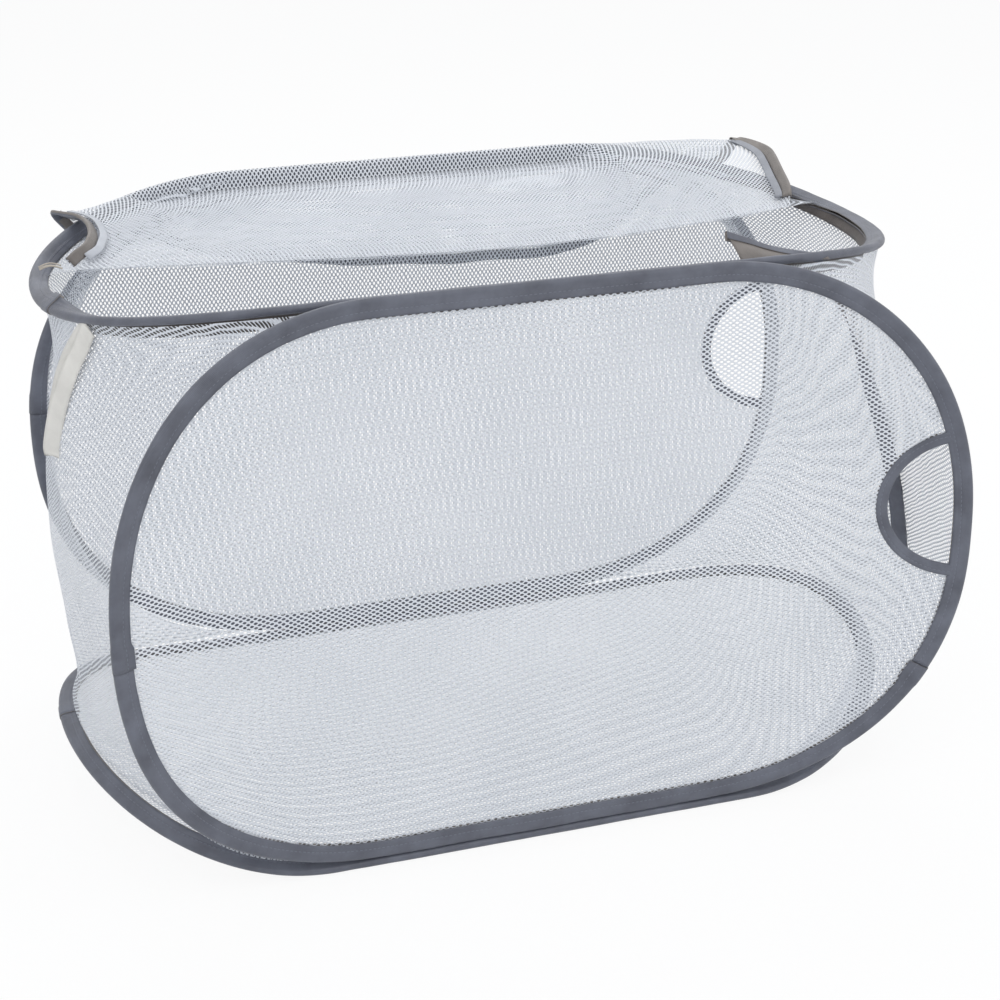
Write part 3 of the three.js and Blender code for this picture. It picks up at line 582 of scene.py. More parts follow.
# Front and back net, with the hand holes' tape; a hole has a reach, a height and a rise over the middle
front_hole, back_hole = (0.050, 0.092, 0.020), (0.058, 0.102, 0.012)
net_inset, outline_step = 0.001, 0.006
upright_spacing, bottom_spacing = 0.008, 0.009
edge_share, calm_edge = 0.98, 0.05
panel_waves = ((0.0022, 0.09), (0.0009, 0.035))
hole_tape_gap, hole_tape_share, hole_puckers = 0.0015, 1.15, 0.00015


def hole_arc(hoop, hole, angles):
    reach, height, rise = hole
    return np.c_[hoop.reach - reach * np.cos(angles), rise + height / 2 * np.sin(angles)]


def hoop_outline(hoop):
    return hoop.outline(-90, 270, outline_step, net_inset)[0][:-1]


# Points on a hand hole's arc: for the net's edge, to find the tape's ends, and along the tape
hole_edge_points, hole_search_points, hole_tape_points = 60, 400, 64


def upright_border(hoop, hole):
    """The hoop's outline with the hand hole's arc in place of what lies in the hole."""
    reach, height, rise = hole
    outer = hoop_outline(hoop)
    in_hole = ((outer[:, 0] - hoop.reach) / reach) ** 2 + ((outer[:, 1] - rise) / (height / 2)) ** 2 < 1
    after_hole = np.where(in_hole)[0][-1] + 1
    kept = np.roll(outer, -after_hole, axis=0)[~np.roll(in_hole, -after_hole)]
    arc = hole_arc(hoop, hole, np.linspace(-math.pi / 2, math.pi / 2, hole_edge_points))
    arc = arc[inside(arc, outer)]
    if np.linalg.norm(arc[0] - kept[-1]) > np.linalg.norm(arc[-1] - kept[-1]):
        arc = arc[::-1]
    return np.concatenate([kept, arc])


def upright_panel(name, hoop, hole, seed, node, body):
    def place(flat):
        """The net with two sizes of soft waves, which die out towards the hoop."""
        space = hoop.point(flat[:, 0], flat[:, 1])
        depth = np.clip((hoop.rise - np.abs(flat[:, 1])) / calm_edge, 0, 1)
        depth *= np.clip((hoop.half_width(flat[:, 1] * edge_share) - np.abs(flat[:, 0])) / calm_edge, 0, 1)
        (slow, slow_size), (quick, quick_size) = panel_waves
        waves = slow * wobble(space, slow_size, seed) + quick * wobble(space, quick_size, seed + 5)
        return space + hoop.out * (waves * depth)[:, None]

    border = upright_border(hoop, hole)
    piece = panel(name, border, place, upright_spacing)
    dress(piece, "mesh_net", net, nodes=[node], body=body)
    if hoop is back:
        turn_net(piece)


def hole_tape(name, hoop, hole, seed, node, body):
    """The folded tape round a hand hole's arc, as far as the hoop's own tape."""
    reach, height, rise = hole
    angles = np.linspace(-math.pi / 2, math.pi / 2, hole_search_points)
    u, v = hole_arc(hoop, hole, angles).T
    within = np.where(u < hoop.half_width(v, hole_tape_gap))[0]
    angles = np.linspace(angles[within[0]], angles[within[-1]], hole_tape_points)
    uv = hole_arc(hoop, hole, angles)
    u, v = uv.T
    outward = unit(np.c_[(hoop.reach - u) / reach ** 2, (rise - v) / (height / 2) ** 2])
    origin, flat, normal = hoop.frames(uv, outward)
    radius = hem_radius * hole_tape_share
    shape = tape_section(radius, hem_width, radius)
    piece = sweep(name, origin, flat, normal, lengths_along(origin), shape, hole_puckers, seed)
    dress(piece, "binding_tape", narrow_grey, taupe, nodes=[node], body=body)


upright_panel("front_net", front, front_hole, 2.0, "front_mesh_panel", "front")
upright_panel("back_net", back, back_hole, 6.0, "back_mesh_panel", "back")
hole_tape("front_hole_tape", front, front_hole, 1.5, "front_handle_binding", "front")
hole_tape("back_hole_tape", back, back_hole, 4.5, "back_handle_binding", "back")


# Bottom net, which lies on the floor between its raised ends
def bottom_place(flat):
    """The net drops from the wire's middle to the floor beside the tape, and has low waves farther in."""
    floor_gap, tape_reach, drop_reach = 0.0004, 0.0065, 0.03
    wave_rise, wave_size, wave_reach = 0.004, 0.11, 0.05
    space = bottom.point(flat[:, 0], flat[:, 1])
    edge_v = bottom.rise - np.abs(flat[:, 1])
    edge_u = bottom.half_width(flat[:, 1] * edge_share) - np.abs(flat[:, 0])
    inner = np.minimum(edge_v, edge_u)
    space[:, 2] -= (bulb_radius - floor_gap) * np.clip((inner - tape_reach) / drop_reach, 0, 1)
    waves = wave_rise * np.maximum(0, wobble(space, wave_size, 9.0))
    space[:, 2] += waves * np.clip((inner - drop_reach) / wave_reach, 0, 1)
    return space


piece = panel("bottom_net", hoop_outline(bottom), bottom_place, bottom_spacing)
dress(piece, "mesh_net", net, nodes=["bottom_mesh_panel"], body="bottom")

# End gussets, the same relaxed grids as the solids, tucked in along the back tape and over the bottom one
gusset_gap, fullness, steps, corner = 0.0005, 0.00052, 16, rim.run
relax_rounds, finer_times = 1500, 5
back_tuck, foot_tuck, foot_lift, tuck_ease = 0.0065, 0.0040, 0.0060, 0.03
gusset_waves = ((0.0035, 0.05, 0.45), (0.0012, 0.02, 0.5))


def gusset_reach(hoop, side, degrees):
    """How far out the hoop's end reaches at an angle, and its share of the way across the hoop."""
    c, s = abs(math.cos(math.radians(degrees))), math.sin(math.radians(degrees))
    scale = (c ** hoop.n + abs(s) ** hoop.n) ** (-1 / hoop.n)
    return corner + (hoop.reach + side * hoop.centre[0] - corner) * c * scale, (1 + s * scale) / 2


def gusset_edge(hoop, side, x, turn=-1):
    """The place of the gusset's edge on the axis of the hoop's normal, beside the tape at x."""
    lift, slope = hoop.lift(x - side * hoop.centre[0])
    away = lift + turn * (bulb_radius + gusset_gap) * math.hypot(1, slope)
    return float(hoop.centre @ np.abs(hoop.out) + hoop.out.sum() * away)


def gusset_grid(side):
    """A gusset's points, from the front hoop to the back one and from the bottom hoop up to the rim."""
    first_y, last_y = (gusset_edge(hoop, side, corner) for hoop in (front, back))
    low_z, high_z = gusset_edge(bottom, side, corner), gusset_edge(rim, side, corner, 1)
    grid = np.zeros((steps + 1, steps + 1, 3))
    for i in range(steps + 1):
        depth_angle = 180 * i / steps - 90
        foot_x, share = gusset_reach(bottom, side, depth_angle)
        head_x, _ = gusset_reach(rim, side, depth_angle)
        y = first_y + (last_y - first_y) * share
        for j in range(steps + 1):
            height_angle = 180 * j / steps - 90
            front_x, height = gusset_reach(front, side, height_angle)
            back_x, _ = gusset_reach(back, side, height_angle)
            z = low_z + (high_z - low_z) * height
            if i == 0:
                grid[i, j] = front_x, gusset_edge(front, side, front_x), z
            elif i == steps:
                grid[i, j] = back_x, gusset_edge(back, side, back_x), z
            elif j == 0:
                grid[i, j] = foot_x, y, gusset_edge(bottom, side, foot_x)
            elif j == steps:
                grid[i, j] = head_x, y, gusset_edge(rim, side, head_x, 1)
            else:
                grid[i, j] = (foot_x + head_x) / 2, y, z
    for _ in range(relax_rounds):
        around = (grid[:-2, 1:-1] + grid[2:, 1:-1] + grid[1:-1, :-2] + grid[1:-1, 2:]) / 4
        around[..., 0] += fullness
        grid[1:-1, 1:-1] = around
    shares = np.arange(steps + 1) / steps
    grid[..., 0] -= back_tuck * shares[:, None] ** 4 * np.clip((grid[..., 0] - corner) / tuck_ease, 0, 1)
    foot = (1 - shares[None, :]) ** 8
    grid[..., 0] -= foot_tuck * foot * np.clip((grid[..., 0] - corner) / tuck_ease, 0, 1)
    grid[..., 2] += foot_lift * foot
    grid[..., 0] *= side
    return grid


def finer(grid, times):
    """A grid with more points, smooth between the given ones."""
    def along(rows):
        last = len(rows) - 1
        out = []
        for t in np.linspace(0, last, last * times + 1):
            i = min(int(t), last - 1)
            f = t - i
            p0, p1, p2, p3 = (rows[min(max(k, 0), last)] for k in (i - 1, i, i + 1, i + 2))
            out.append(0.5 * (2 * p1 + (p2 - p0) * f + (2 * p0 - 5 * p1 + 4 * p2 - p3) * f ** 2
                              + (3 * p1 - p0 - 3 * p2 + p3) * f ** 3))
        return np.array(out)
    return np.swapaxes(along(np.swapaxes(along(grid), 0, 1)), 0, 1)


def normals_of(grid):
    return unit(np.cross(np.gradient(grid, axis=0), np.gradient(grid, axis=1)))


def lengths_of(grid):
    """Flat coordinates of a grid: lengths along its rows and columns, measured from its middle lines."""
    du = np.linalg.norm(np.diff(grid, axis=0), axis=-1)
    dv = np.linalg.norm(np.diff(grid, axis=1), axis=-1)
    u = np.pad(np.cumsum(du, axis=0), ((1, 0), (0, 0)))
    v = np.pad(np.cumsum(dv, axis=1), ((0, 0), (1, 0)))
    return np.stack([u - u[len(u) // 2], v - v[:, v.shape[1] // 2][:, None]], -1)


def net_sheet(name, grid, nodes, body=None):
    """A single sheet of net over a grid of points."""
    piece = build(name, grid.reshape(-1, 3), grid_faces(*grid.shape[:2]), lengths_of(grid).reshape(-1, 2))
    return dress(piece, "mesh_net", net, nodes=nodes, body=body)


gussets = {}
ends = ((-1, "left_end_net", "left_gusset", 3.0), (1, "right_end_net", "right_gusset", 5.0))
for side, name, node, seed in ends:
    grid = finer(gusset_grid(side), finer_times)
    gussets[side] = grid
    to_edge = np.minimum(np.linspace(0, 1, len(grid)), np.linspace(1, 0, len(grid)))
    depth = (np.minimum(to_edge[:, None], to_edge[None, :]) * 6).clip(0, 1)
    (slow, slow_size, slow_stretch), (quick, quick_size, quick_stretch) = gusset_waves
    waves = slow * wobble(grid, slow_size, seed, (1, 1, slow_stretch))
    waves += quick * wobble(grid, quick_size, seed + 2, (1, 1, quick_stretch))
    shaped = grid + normals_of(grid) * (waves * depth)[..., None]
    piece = net_sheet(name, shaped, [node], "bottom")
    crumple(piece)


def on_gusset(side, share, height, lift):
    """Points lifted off a gusset towards -X, at shares of its depth and height, and its normals there."""
    grid = gussets[side]
    normal = normals_of(grid)
    if normal[len(grid) // 2, len(grid) // 2, 0] < 0:
        normal = -normal
    n = len(grid) - 1
    i, j = np.clip(share * n, 0, n - 1e-6), np.clip(height * n, 0, n - 1e-6)
    a, b = i.astype(int), j.astype(int)
    fa, fb = (i - a)[..., None], (j - b)[..., None]

    def mixed(values):
        return ((1 - fa) * (1 - fb) * values[a, b] + fa * (1 - fb) * values[a + 1, b]
                + (1 - fa) * fb * values[a, b + 1] + fa * fb * values[a + 1, b + 1])

    return mixed(grid) - mixed(normal) * lift[..., None], mixed(normal)


band_columns, band_wave, band_wave_size = 7, 0.0004, 0.02


def band(name, centre, across, width, thickness, seed):
    """A flat tape along a line of points, as a thin closed solid; its underside is material 1."""
    offsets = np.linspace(-0.5, 0.5, band_columns)
    tangent = unit(np.gradient(centre, axis=0))
    side_way = unit(across - (across * tangent).sum(axis=1)[:, None] * tangent)
    face = np.cross(tangent, side_way)
    top = centre[:, None] + side_way[:, None] * (offsets * width)[None, :, None]
    top = top + face[:, None] * (band_wave * wobble(top, band_wave_size, seed))[..., None]
    under = top - face[:, None] * thickness
    piece = thin_solid(name, top, under, flat_grid(lengths_along(centre), offsets * width))
    set_materials(piece, [0] * len(offsets) + [1] * (len(offsets) - 1) + [0], len(centre), 0)
    return piece


# Seam tape inside the right gusset, between shares of its depth and height. It is made from seam_seen of
# the way on, and it turns off the net as it runs down.
seam_from, seam_to, seam_seen = (0.66, 0.93), (0.17, 0.40), 0.22
seam_width, seam_thickness, seam_lift, seam_slack = 0.014, 0.0006, 0.0022, 0.004
seam_rows, seam_turn_share, seam_turn_way = 60, 0.75, 0.35
t = np.linspace(seam_seen, 1, seam_rows)
seam_share, seam_height = (first + (last - first) * t for first, last in zip(seam_from, seam_to))
seam, face = on_gusset(1, seam_share, seam_height, np.full(len(t), seam_lift))
on_net = unit(np.cross(face, np.gradient(seam, axis=0)))
off_net = np.where((on_net * X).sum(axis=1)[:, None] < 0, X, -X)
stand_off = seam_turn_share * np.clip((t - seam_seen) / seam_turn_way, 0, 1)[:, None]
seam_across = unit(on_net * (1 - stand_off) - off_net * stand_off)
seam = seam - X * seam_slack * stand_off
piece = band("end_seam_tape", seam, seam_across, seam_width, seam_thickness, 2.0)
dress(piece, "binding_tape", plain_grey, taupe, nodes=["right_seam_tape"], body="bottom")
crumple(piece)

# Ribbon loop down the outside of the left end: its top and foot as shares of the gusset's depth and height
ribbon_top, ribbon_foot = (0.325, 0.99), (0.435, 0.680)
ribbon_rows, ribbon_width, ribbon_thickness, turn_drop = 44, 0.0130, 0.0005, 0.0035
near_drift, near_lift, near_belly, near_slope = -0.012, 0.0028, 0.0028, 0.001
far_drift, far_lift, far_slope = 0.022, 0.0018, 0.0012
turn_shares, loop_turn = (0.15, 0.35, 0.65, 0.85), 0.8
down = np.linspace(0, 1, ribbon_rows)
belly = np.sin(math.pi * down)


def ribbon_strand(share_drift, lifts):
    share, height = (top + (foot - top) * down for top, foot in zip(ribbon_top, ribbon_foot))
    return on_gusset(-1, share + share_drift * belly, height, lifts)


near, face = ribbon_strand(near_drift, near_lift + near_belly * belly + near_slope * down)
far, _ = ribbon_strand(far_drift, far_lift + far_slope * down)
turn = [near[-1] * (1 - k) + far[-1] * k - Z * turn_drop * math.sin(math.pi * k)
        for k in turn_shares]
loop = np.concatenate([near, turn, far[::-1]])
facing = np.concatenate([face, np.repeat(face[-1:], len(turn), 0), face[::-1]])
flat_way = unit(np.cross(facing, Z))
outside = unit(np.array([-0.55, -0.83, 0.0]))
turned_way = unit(np.cross(np.tile(outside, (len(loop), 1)), Z))
turned_way *= np.sign((flat_way * turned_way).sum(1))[:, None]
share = loop_turn * np.sin(math.pi * np.linspace(0, 1, len(loop)))[:, None]
across = flat_way * (1 - share) + turned_way * share
piece = band("tie_loop", loop, across, ribbon_width, ribbon_thickness, 8.0)
dress(piece, "satin_ribbon", cream, cream, nodes=["tie_ribbon"], body="top")
crumple(piece)


# Tape hanging inside the rim, where its seam allowance shows, in a darker copy of the reverse colour with
# painted shade
def rim_strip():
    strip_thickness, strip_inset, strip_drop, strip_lean, drawn_width = 0.0006, 0.0046, 0.0022, 0.16, 0.0105
    strip_step, strip_columns, strip_wave_size, ripple_size = 0.004, 5, 0.05, 0.03
    width_wave, lean_wave, ripple_rise, taper, blunt = 0.0012, 0.1, 0.0008, 0.02, 0.3
    widths = ((204, 0.0125), (320, 0.0120), (350, 0.0085), (392, 0.0065))
    uv, outward, along, angle = rim.outline(widths[0][0], widths[-1][0], strip_step)
    origin, flat, normal = rim.frames(uv, outward)
    width = np.interp(angle, *zip(*widths))
    width = width + width_wave * wobble(origin, strip_wave_size, 40.0)
    width = width * np.clip(np.minimum(along, along[-1] - along) / taper + blunt, 0, 1)
    centre = origin - flat * strip_inset + normal * (strip_drop + width / 2)[:, None]
    lean = unit(normal - flat * (strip_lean + lean_wave * wobble(origin, strip_wave_size, 44.0))[:, None])
    offsets = np.linspace(-0.5, 0.5, strip_columns)
    ripple = ripple_rise * wobble(origin, ripple_size, 47.0)
    top = centre[:, None] + lean[:, None] * (offsets[None] * width[:, None])[..., None]
    top = top + flat[:, None] * (ripple[:, None] * (offsets + 0.5)[None])[..., None]
    under = top - flat[:, None] * strip_thickness
    return thin_solid("rim_seam_strip", top, under, flat_grid(along, offsets * drawn_width))


dress(rim_strip(), "binding_tape", shaded_taupe, body="top")

# Rear top net, from the inner edge of the rim's tape to the fold line of the lid
sag_left, sag_width, sag_depth, sag_power = -0.276, 0.559, 0.013, 1.3
top_inset, top_drop, chord_gap = 0.0052, 0.0012, 0.0015


def chord_sag(x):
    """How far the fold line hangs below its ends; the lowest place is right of the middle."""
    share = np.clip((x - sag_left) / sag_width, 0, 1)
    return sag_depth * np.sin(math.pi * share ** sag_power)


def rear_top():
    rows, columns, step = 17, 81, 0.003
    wave_rise, wave_size = 0.0015, 0.05
    uv, outward, _, angle = rim.outline(0, 180, step)
    origin, flat, normal = rim.frames(uv, outward)
    lean = np.radians(np.interp(angle + 360, *zip(*rim_lean)))
    origin, flat, normal = turned(origin, flat, normal, lean)
    line = origin - flat * top_inset - Z * top_drop
    line = line[line[:, 1] > chord_y + chord_gap]
    away = lengths_along(line)
    edge = resampled(line, away, np.linspace(0, away[-1], columns))
    chord = np.c_[edge[:, 0], np.full(columns, chord_y), np.full(columns, chord_z)]
    share = np.linspace(0, 1, rows)[:, None]
    grid = edge[None] * (1 - share[..., None]) + chord[None] * share[..., None]
    grid[..., 2] -= chord_sag(edge[:, 0])[None, :] * share ** sag_power
    grid[..., 2] += wave_rise * wobble(grid, wave_size, 12.0) * (share * 3).clip(0, 1)
    return grid


piece = net_sheet("rear_top_net", rear_top(), ["rear_top_mesh"], "top")

# Lid flap: up the inside of the rear tape, over it and down behind
over_tape = bulb_radius + 0.0009
foot_gap, rear_drop = 0.0008, 0.0092
chord_left, chord_right = -0.276, 0.260
cross_left, cross_right = -0.267, 0.274
flap_columns, rows_top, rows_face, rows_turn, rows_hang = 141, 40, 4, 9, 28
side_angle, more_where_steep = math.radians(105), math.radians(70)
curl_width, curl_rise, bulge_share = 0.013, 0.0080, 0.12
curl_from_share, curl_to_share, curl_fade_share = 0.09, 1.15, 0.6
fold_wave, fold_depth, fold_limit, longest_hang = 0.08, 0.0028, 0.12, 0.085
cover_range, behind_gap, behind_reach = 0.012, 0.0012, 0.010
hem_drift, drift_reach = 0.012, 0.27


def rear_wire(x):
    """The middle of the rim's tape at x, straightened somewhat across the corners."""
    y = rim_y + rim.rise_at(x, bulb_centre)
    z = rim_z - rim.lift(x)[0]
    off = np.interp(x, [cross_left, -0.252, -0.235, -0.215, 0.160, 0.200, 0.240],
                    [0.42, 0.25, 0.10, 0, 0, 0.65, 0.78])
    return y + off * (stand_y - y), z + off * (rim_z - z)


def flap_sides(t):
    """The x of the flap's left and right edge, t being the share of the way from fold line to rear tape."""
    left = smooth_curve(t, [0, 0.10, 0.3, 0.6, 0.85, 1],
                        [chord_left, -0.2600, -0.2500, -0.2475, -0.2535, cross_left])
    right = smooth_curve(t, [0, 0.14, 0.34, 0.54, 0.74, 0.86, 0.95, 1],
                         [chord_right, 0.2660, 0.2720, 0.2780, 0.2832, 0.2818, 0.2780, cross_right])
    return left[:, None], right[:, None]


def hang_length(x):
    """How far the flap hangs down behind the rear tape."""
    return smooth_curve(
        x, [cross_left, -0.223, -0.156, -0.056, 0.06, 0.133, 0.167, 0.201, 0.225, cross_right],
        [0.014, 0.028, 0.057, 0.076, longest_hang, 0.084, 0.074, 0.050, 0.034, 0.016])


def pushed_back(x, y, hem_z):
    """How far the hanging part is set back to clear the back hoop's tape, where it reaches down to it."""
    covers = np.clip((back.centre[2] + back.rise_at(x) + cover_range - hem_z) / cover_range, 0, 1)
    return np.maximum(stand_y + bulb_radius + behind_gap - y, 0) * covers


def flap_grid():
    """Points of the flap: columns from its left edge to its right one, rows from the fold line to the hem."""
    share = np.linspace(-1, 1, flap_columns)
    share = 0.45 * np.sin(share * math.pi / 2) + 0.55 * share
    mid = (share + 1) / 2
    t = np.linspace(0, 1, rows_top)[:, None]
    left, right = flap_sides(t[:, 0])
    x = left * (1 - mid) + right * mid
    x_cross = x[-1]
    # Where the flap climbs the rear tape's face, steep is 1
    wire_y, wire_z = rear_wire(x_cross)
    steep = np.interp(x_cross, [-0.215, -0.180, 0.130, 0.160], [0, 1, 1, 0])
    steep = steep * steep * (3 - 2 * steep)
    first = side_angle + more_where_steep * np.clip(5 * steep, 0, 1)
    front_y = wire_y + over_tape * np.cos(first)
    front_z = wire_z + over_tape * np.sin(first)
    foot_y, foot_z = front_y - foot_gap, front_z - rear_drop * steep
    # From the fold line up to the foot of the rear tape's face, with curled sides
    start_z = lid_start_z - chord_sag(x[0])
    y = chord_y + (foot_y - chord_y) * t
    z = start_z + (foot_z - start_z) * (t + bulge_share * t * (1 - t))
    curl = np.clip(1 - np.minimum(x - left, right - x) / curl_width, 0, 1) ** 2
    curl_along = np.minimum(t / curl_from_share, (curl_to_share - t) / curl_fade_share)
    z = z + curl_rise * curl * np.clip(curl_along, 0, 1)
    foot_z = z[-1]
    # Up the face and over the bulb
    climb = ((np.arange(rows_face) + 1) / rows_face)[:, None]
    face_y = foot_y + (front_y - foot_y) * climb
    face_z = foot_z + (np.maximum(front_z, foot_z) - foot_z) * climb
    angle = first * (1 - (np.arange(rows_turn) + 1) / rows_turn)[:, None]
    turn_y = wire_y + over_tape * np.cos(angle)
    turn_z = wire_z + np.maximum(foot_z - front_z, 0) + over_tape * np.sin(angle)
    # Down behind, in soft folds
    down = np.linspace(0, 1, rows_hang + 1)[1:, None]
    drop = hang_length(x_cross) * down
    low_z = turn_z[-1] - drop
    fold = np.sin(2 * math.pi * np.clip(x_cross, -fold_limit, fold_limit) / fold_wave + math.pi / 2) + 1
    behind = pushed_back(x_cross, turn_y[-1], low_z[-1])
    low_y = turn_y[-1] + behind * np.clip(drop / behind_reach, 0, 1)
    low_y = low_y + fold_depth * fold * (drop / longest_hang)
    drift = np.sign(x_cross) * hem_drift * np.clip(np.abs(x_cross) / drift_reach, 0, 1) ** 4 * down
    x_all = np.concatenate([x, np.repeat(x_cross[None, :], rows_face + rows_turn, 0), x_cross - drift])
    y_all = np.concatenate([y, face_y, turn_y, low_y])
    z_all = np.concatenate([z, face_z, turn_z, low_z])
    return np.stack([x_all, y_all, z_all], -1)


flap = flap_grid()
flap_rows = len(flap)
row = np.arange(flap_rows)[:, None]
flap_wave, flap_wave_size, hang_ripple, hang_ripple_size = 0.0016, 0.05, 0.0014, 0.03
waves = flap_wave * wobble(flap, flap_wave_size, 21.0, (0.6, 1, 1))
ripple = hang_ripple * np.abs(wobble(flap, hang_ripple_size, 31.0))
flap[..., 2] += waves * np.clip(row / 6, 0, 1) * np.clip((rows_top - 3 - row) / 8, 0, 1)
flap[..., 1] += ripple * np.clip((row - rows_top - rows_face - rows_turn) / 5, 0, 1)
piece = net_sheet("lid_flap_net", flap, ["lid_mesh", "lid_drape_mesh"])
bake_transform(piece)


hem_step, hem_puckers, hem_turn_gap = 0.003, 0.0002, 0.012


def flap_hem():
    """The tape round the flap's free edge, in one length."""
    edge = [(i, 0) for i in range(2, flap_rows)]
    edge += [(flap_rows - 1, j) for j in range(1, flap_columns - 1)]
    edge += [(i, flap_columns - 1) for i in range(flap_rows - 1, 1, -1)]
    i, j = np.array(edge).T
    away = lengths_along(flap[i, j])
    at = np.linspace(0, away[-1], int(away[-1] / hem_step))
    line = resampled(flap[i, j], away, at)
    normal = unit(resampled(normals_of(flap)[i, j], away, at))
    for _ in range(2):
        line[1:-1] = (line[:-2] + 2 * line[1:-1] + line[2:]) / 4
        normal[1:-1] = unit(normal[:-2] + 2 * normal[1:-1] + normal[2:])
    tangent = unit(np.gradient(line, axis=0))
    outward = unit(np.cross(tangent, normal))
    if ((line[5] - flap[rows_top // 2, flap_columns // 2]) * outward[5]).sum() < 0:
        outward = -outward
    shape = tape_section(hem_radius, hem_width, hem_radius)
    return sweep("lid_flap_hem", line, outward, np.cross(outward, tangent), at, shape, hem_puckers, 14.0)


# The hem shows its reverse on top, as far as the rear tape
hem_nodes = ["lid_left_hem", "lid_right_hem", "lid_drape_hem"]
piece = dress(flap_hem(), "binding_tape", narrow_grey, taupe, nodes=hem_nodes)
for face in piece.data.polygons:
    if face.normal.z > 0.05 and face.center.y < stand_y - hem_turn_gap:
        face.material_index = 1
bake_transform(piece)

# The net folded over beside each side hem of the flap, darker than the net with painted shade, deeper on the
# right
folded_width, folded_thickness, folded_middle, folded_lift = 0.0056, 0.0007, 0.0098, 0.0006
for name, column, inner, shaded_cloth in (("flap_fold_left", 0, 8, folded),
                                   ("flap_fold_right", flap_columns - 1, flap_columns - 9, deep_shaded_fold)):
    side_line = flap[3:rows_top - 1, column]
    inward = unit(flap[3:rows_top - 1, inner] - side_line)
    middle = side_line + inward * folded_middle + Z * folded_lift
    piece = band(name, middle, inward, folded_width, folded_thickness, 17.0)
    dress(piece, "mesh_net", shaded_cloth, shaded_cloth, body="lid")

# Tape standing up inside the front right of the rim: its lining, then the tape on the lining's upper edge
k = np.linspace(0, 1, 26)
foot = np.c_[0.1320 + 0.064 * k, -0.1690 + 0.010 * k ** 2, 0.3838 - 0.0045 * k ** 2]
head_z = smooth_curve(k, [0, 0.2, 0.4, 0.6, 0.8, 1], [0.4014, 0.3964, 0.3908, 0.3870, 0.3845, 0.3828])
head = np.c_[0.1265 + 0.067 * k, -0.1520 - 0.009 * k ** 2, head_z]
lining_thickness, lining_hollow, standing_width = 0.0006, 0.003, 0.0066
share = np.linspace(0, 1, 9)[None, :]
lining = foot[:, None] * (1 - share)[..., None] + head[:, None] * share[..., None]
lining[..., 1] += (0.0012 * wobble(foot, 0.02, 61.0)[:, None] - lining_hollow) * np.sin(math.pi * share)
under = lining - normals_of(lining) * lining_thickness
piece = thin_solid("rim_fold_lining", lining, under, lengths_of(lining))
dress(piece, "binding_tape", taupe, body="top")
crumple(piece)
tangent = unit(np.gradient(head, axis=0))
rising = unit(head - foot)
rising = unit(rising - (rising * tangent).sum(axis=1)[:, None] * tangent)
shape = tape_section(hem_radius, standing_width, hem_radius)
across = np.cross(rising, tangent)
piece = sweep("rim_fold_tape", head, rising, across, lengths_along(head), shape, 0.0003, 66.0)
dress(piece, "binding_tape", plain_grey, taupe, body="top")
crumple(piece)

# Bar tacks that hold the flap's left corner to the rim
thread_radius, thread_rise, thread_reach = 0.0005, 0.0022, 0.0150
tack_x, tack_y, tack_z = -0.2868, chord_y - 0.004, rim_z - 0.0175


def thread(name, start, stop):
    """A thread bowed up between two points, as a closed round rod."""
    rows, sides = 9, 8
    t = np.linspace(0, 1, rows)
    line = np.outer(1 - t, start) + np.outer(t, stop) + np.outer(np.sin(math.pi * t) * thread_rise, Z)
    tangent = unit(np.gradient(line, axis=0))
    one = unit(np.cross(tangent, Y))[:, None]
    two = np.cross(tangent, one[:, 0])[:, None]
    turns = np.linspace(0, 2 * math.pi, sides + 1)[:-1][None, :, None]
    ring = line[:, None] + thread_radius * (np.cos(turns) * one + np.sin(turns) * two)
    count = rows * sides
    caps = [tuple(range(sides)), tuple(range(count - 1, count - sides - 1, -1))]
    faces = grid_faces(rows, sides, around=True) + caps
    piece = build(name, ring.reshape(-1, 3), faces, np.zeros((count, 2)))
    dress(piece, "satin_ribbon", beige, body="top")


# How far along y each thread starts, and its slant
tack_threads, tack_fall = ((0.0, 0.002), (0.0035, -0.001), (0.0070, 0.003)), 0.0010
for index, (spread, slant) in enumerate(tack_threads):
    start = np.array([tack_x, tack_y + spread, tack_z])
    stop = start + np.array([thread_reach, slant, -tack_fall])
    thread(f"bar_tack_{index}", start, stop)


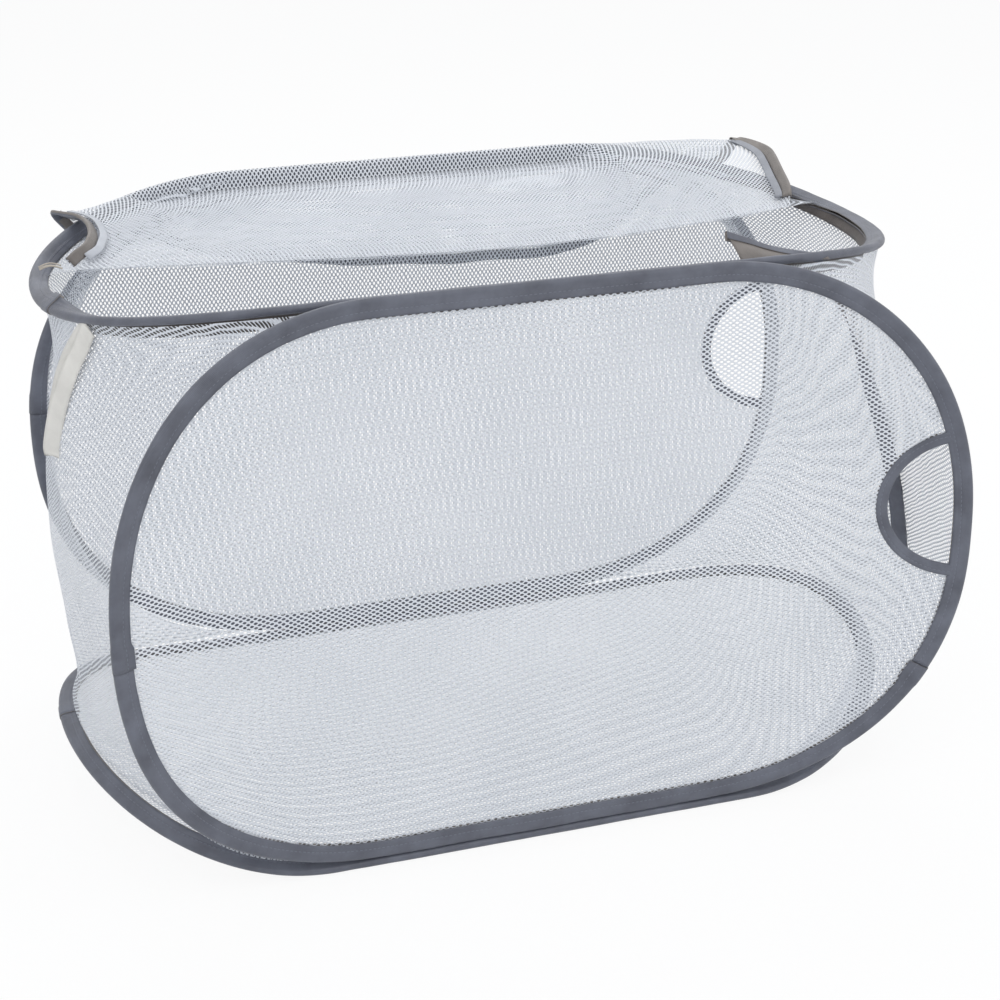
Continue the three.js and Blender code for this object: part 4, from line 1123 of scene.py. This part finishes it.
# Floor, backdrop and light
def seen_itself(graph):
    """1 for the rays that show the floor or backdrop itself, straight, mirrored or through a piece."""
    path = graph.nodes.new("ShaderNodeLightPath")
    seen = graph.math("MAXIMUM", path.outputs["Is Camera Ray"], path.outputs["Is Transmission Ray"])
    return graph.math("MAXIMUM", seen, path.outputs["Is Glossy Ray"])


white = (1, 1, 1, 1)
floor_half, floor_drop, floor_glow_share = 4, 0.0002, 0.90
corners = [(x * floor_half, y * floor_half, 0) for x, y in ((-1, -1), (1, -1), (1, 1), (-1, 1))]
floor = build("floor", corners, [(0, 1, 2, 3)])
floor.location.z = -floor_drop
made = bpy.data.materials.new("floor_pale")
graph = Graph(made)
plain = graph.add("ShaderNodeBsdfDiffuse", Color=(0.92, 0.92, 0.92, 1))
bright = graph.add("ShaderNodeEmission", Color=white)
glow = graph.math("MULTIPLY", seen_itself(graph), floor_glow_share)
graph.blend(glow, plain.outputs[0], bright.outputs[0])
floor.data.materials.append(made)

world = bpy.data.worlds.new("studio")
bpy.context.scene.world = world
graph = Graph(world, "ShaderNodeOutputWorld")
soft = graph.add("ShaderNodeBackground", Color=(0.93, 0.96, 1.0, 1), Strength=0.70)
backdrop = graph.add("ShaderNodeBackground", Color=white, Strength=1.0)
graph.blend(seen_itself(graph), soft.outputs[0], backdrop.outputs[0])


def lamp(name, place, aim, size, power):
    data = bpy.data.lights.new(name, "AREA")
    data.shape = "RECTANGLE"
    data.size, data.size_y = size
    data.energy = power
    obj = bpy.data.objects.new(name, data)
    bpy.context.scene.collection.objects.link(obj)
    obj.location = place
    obj.rotation_euler = (Vector(aim) - Vector(place)).to_track_quat("-Z", "Y").to_euler()


lamp("key", (-1.0, -1.6, 2.2), (0, 0, 0.2), (1.6, 1.6), 17)
lamp("fill", (1.8, -1.2, 1.6), (0, 0, 0.2), (1.4, 1.4), 10)
lamp("rear", (0.2, 1.4, 2.4), (0, 0, 0.25), (1.8, 1.4), 22)

bpy.context.scene.view_settings.view_transform = "Standard"
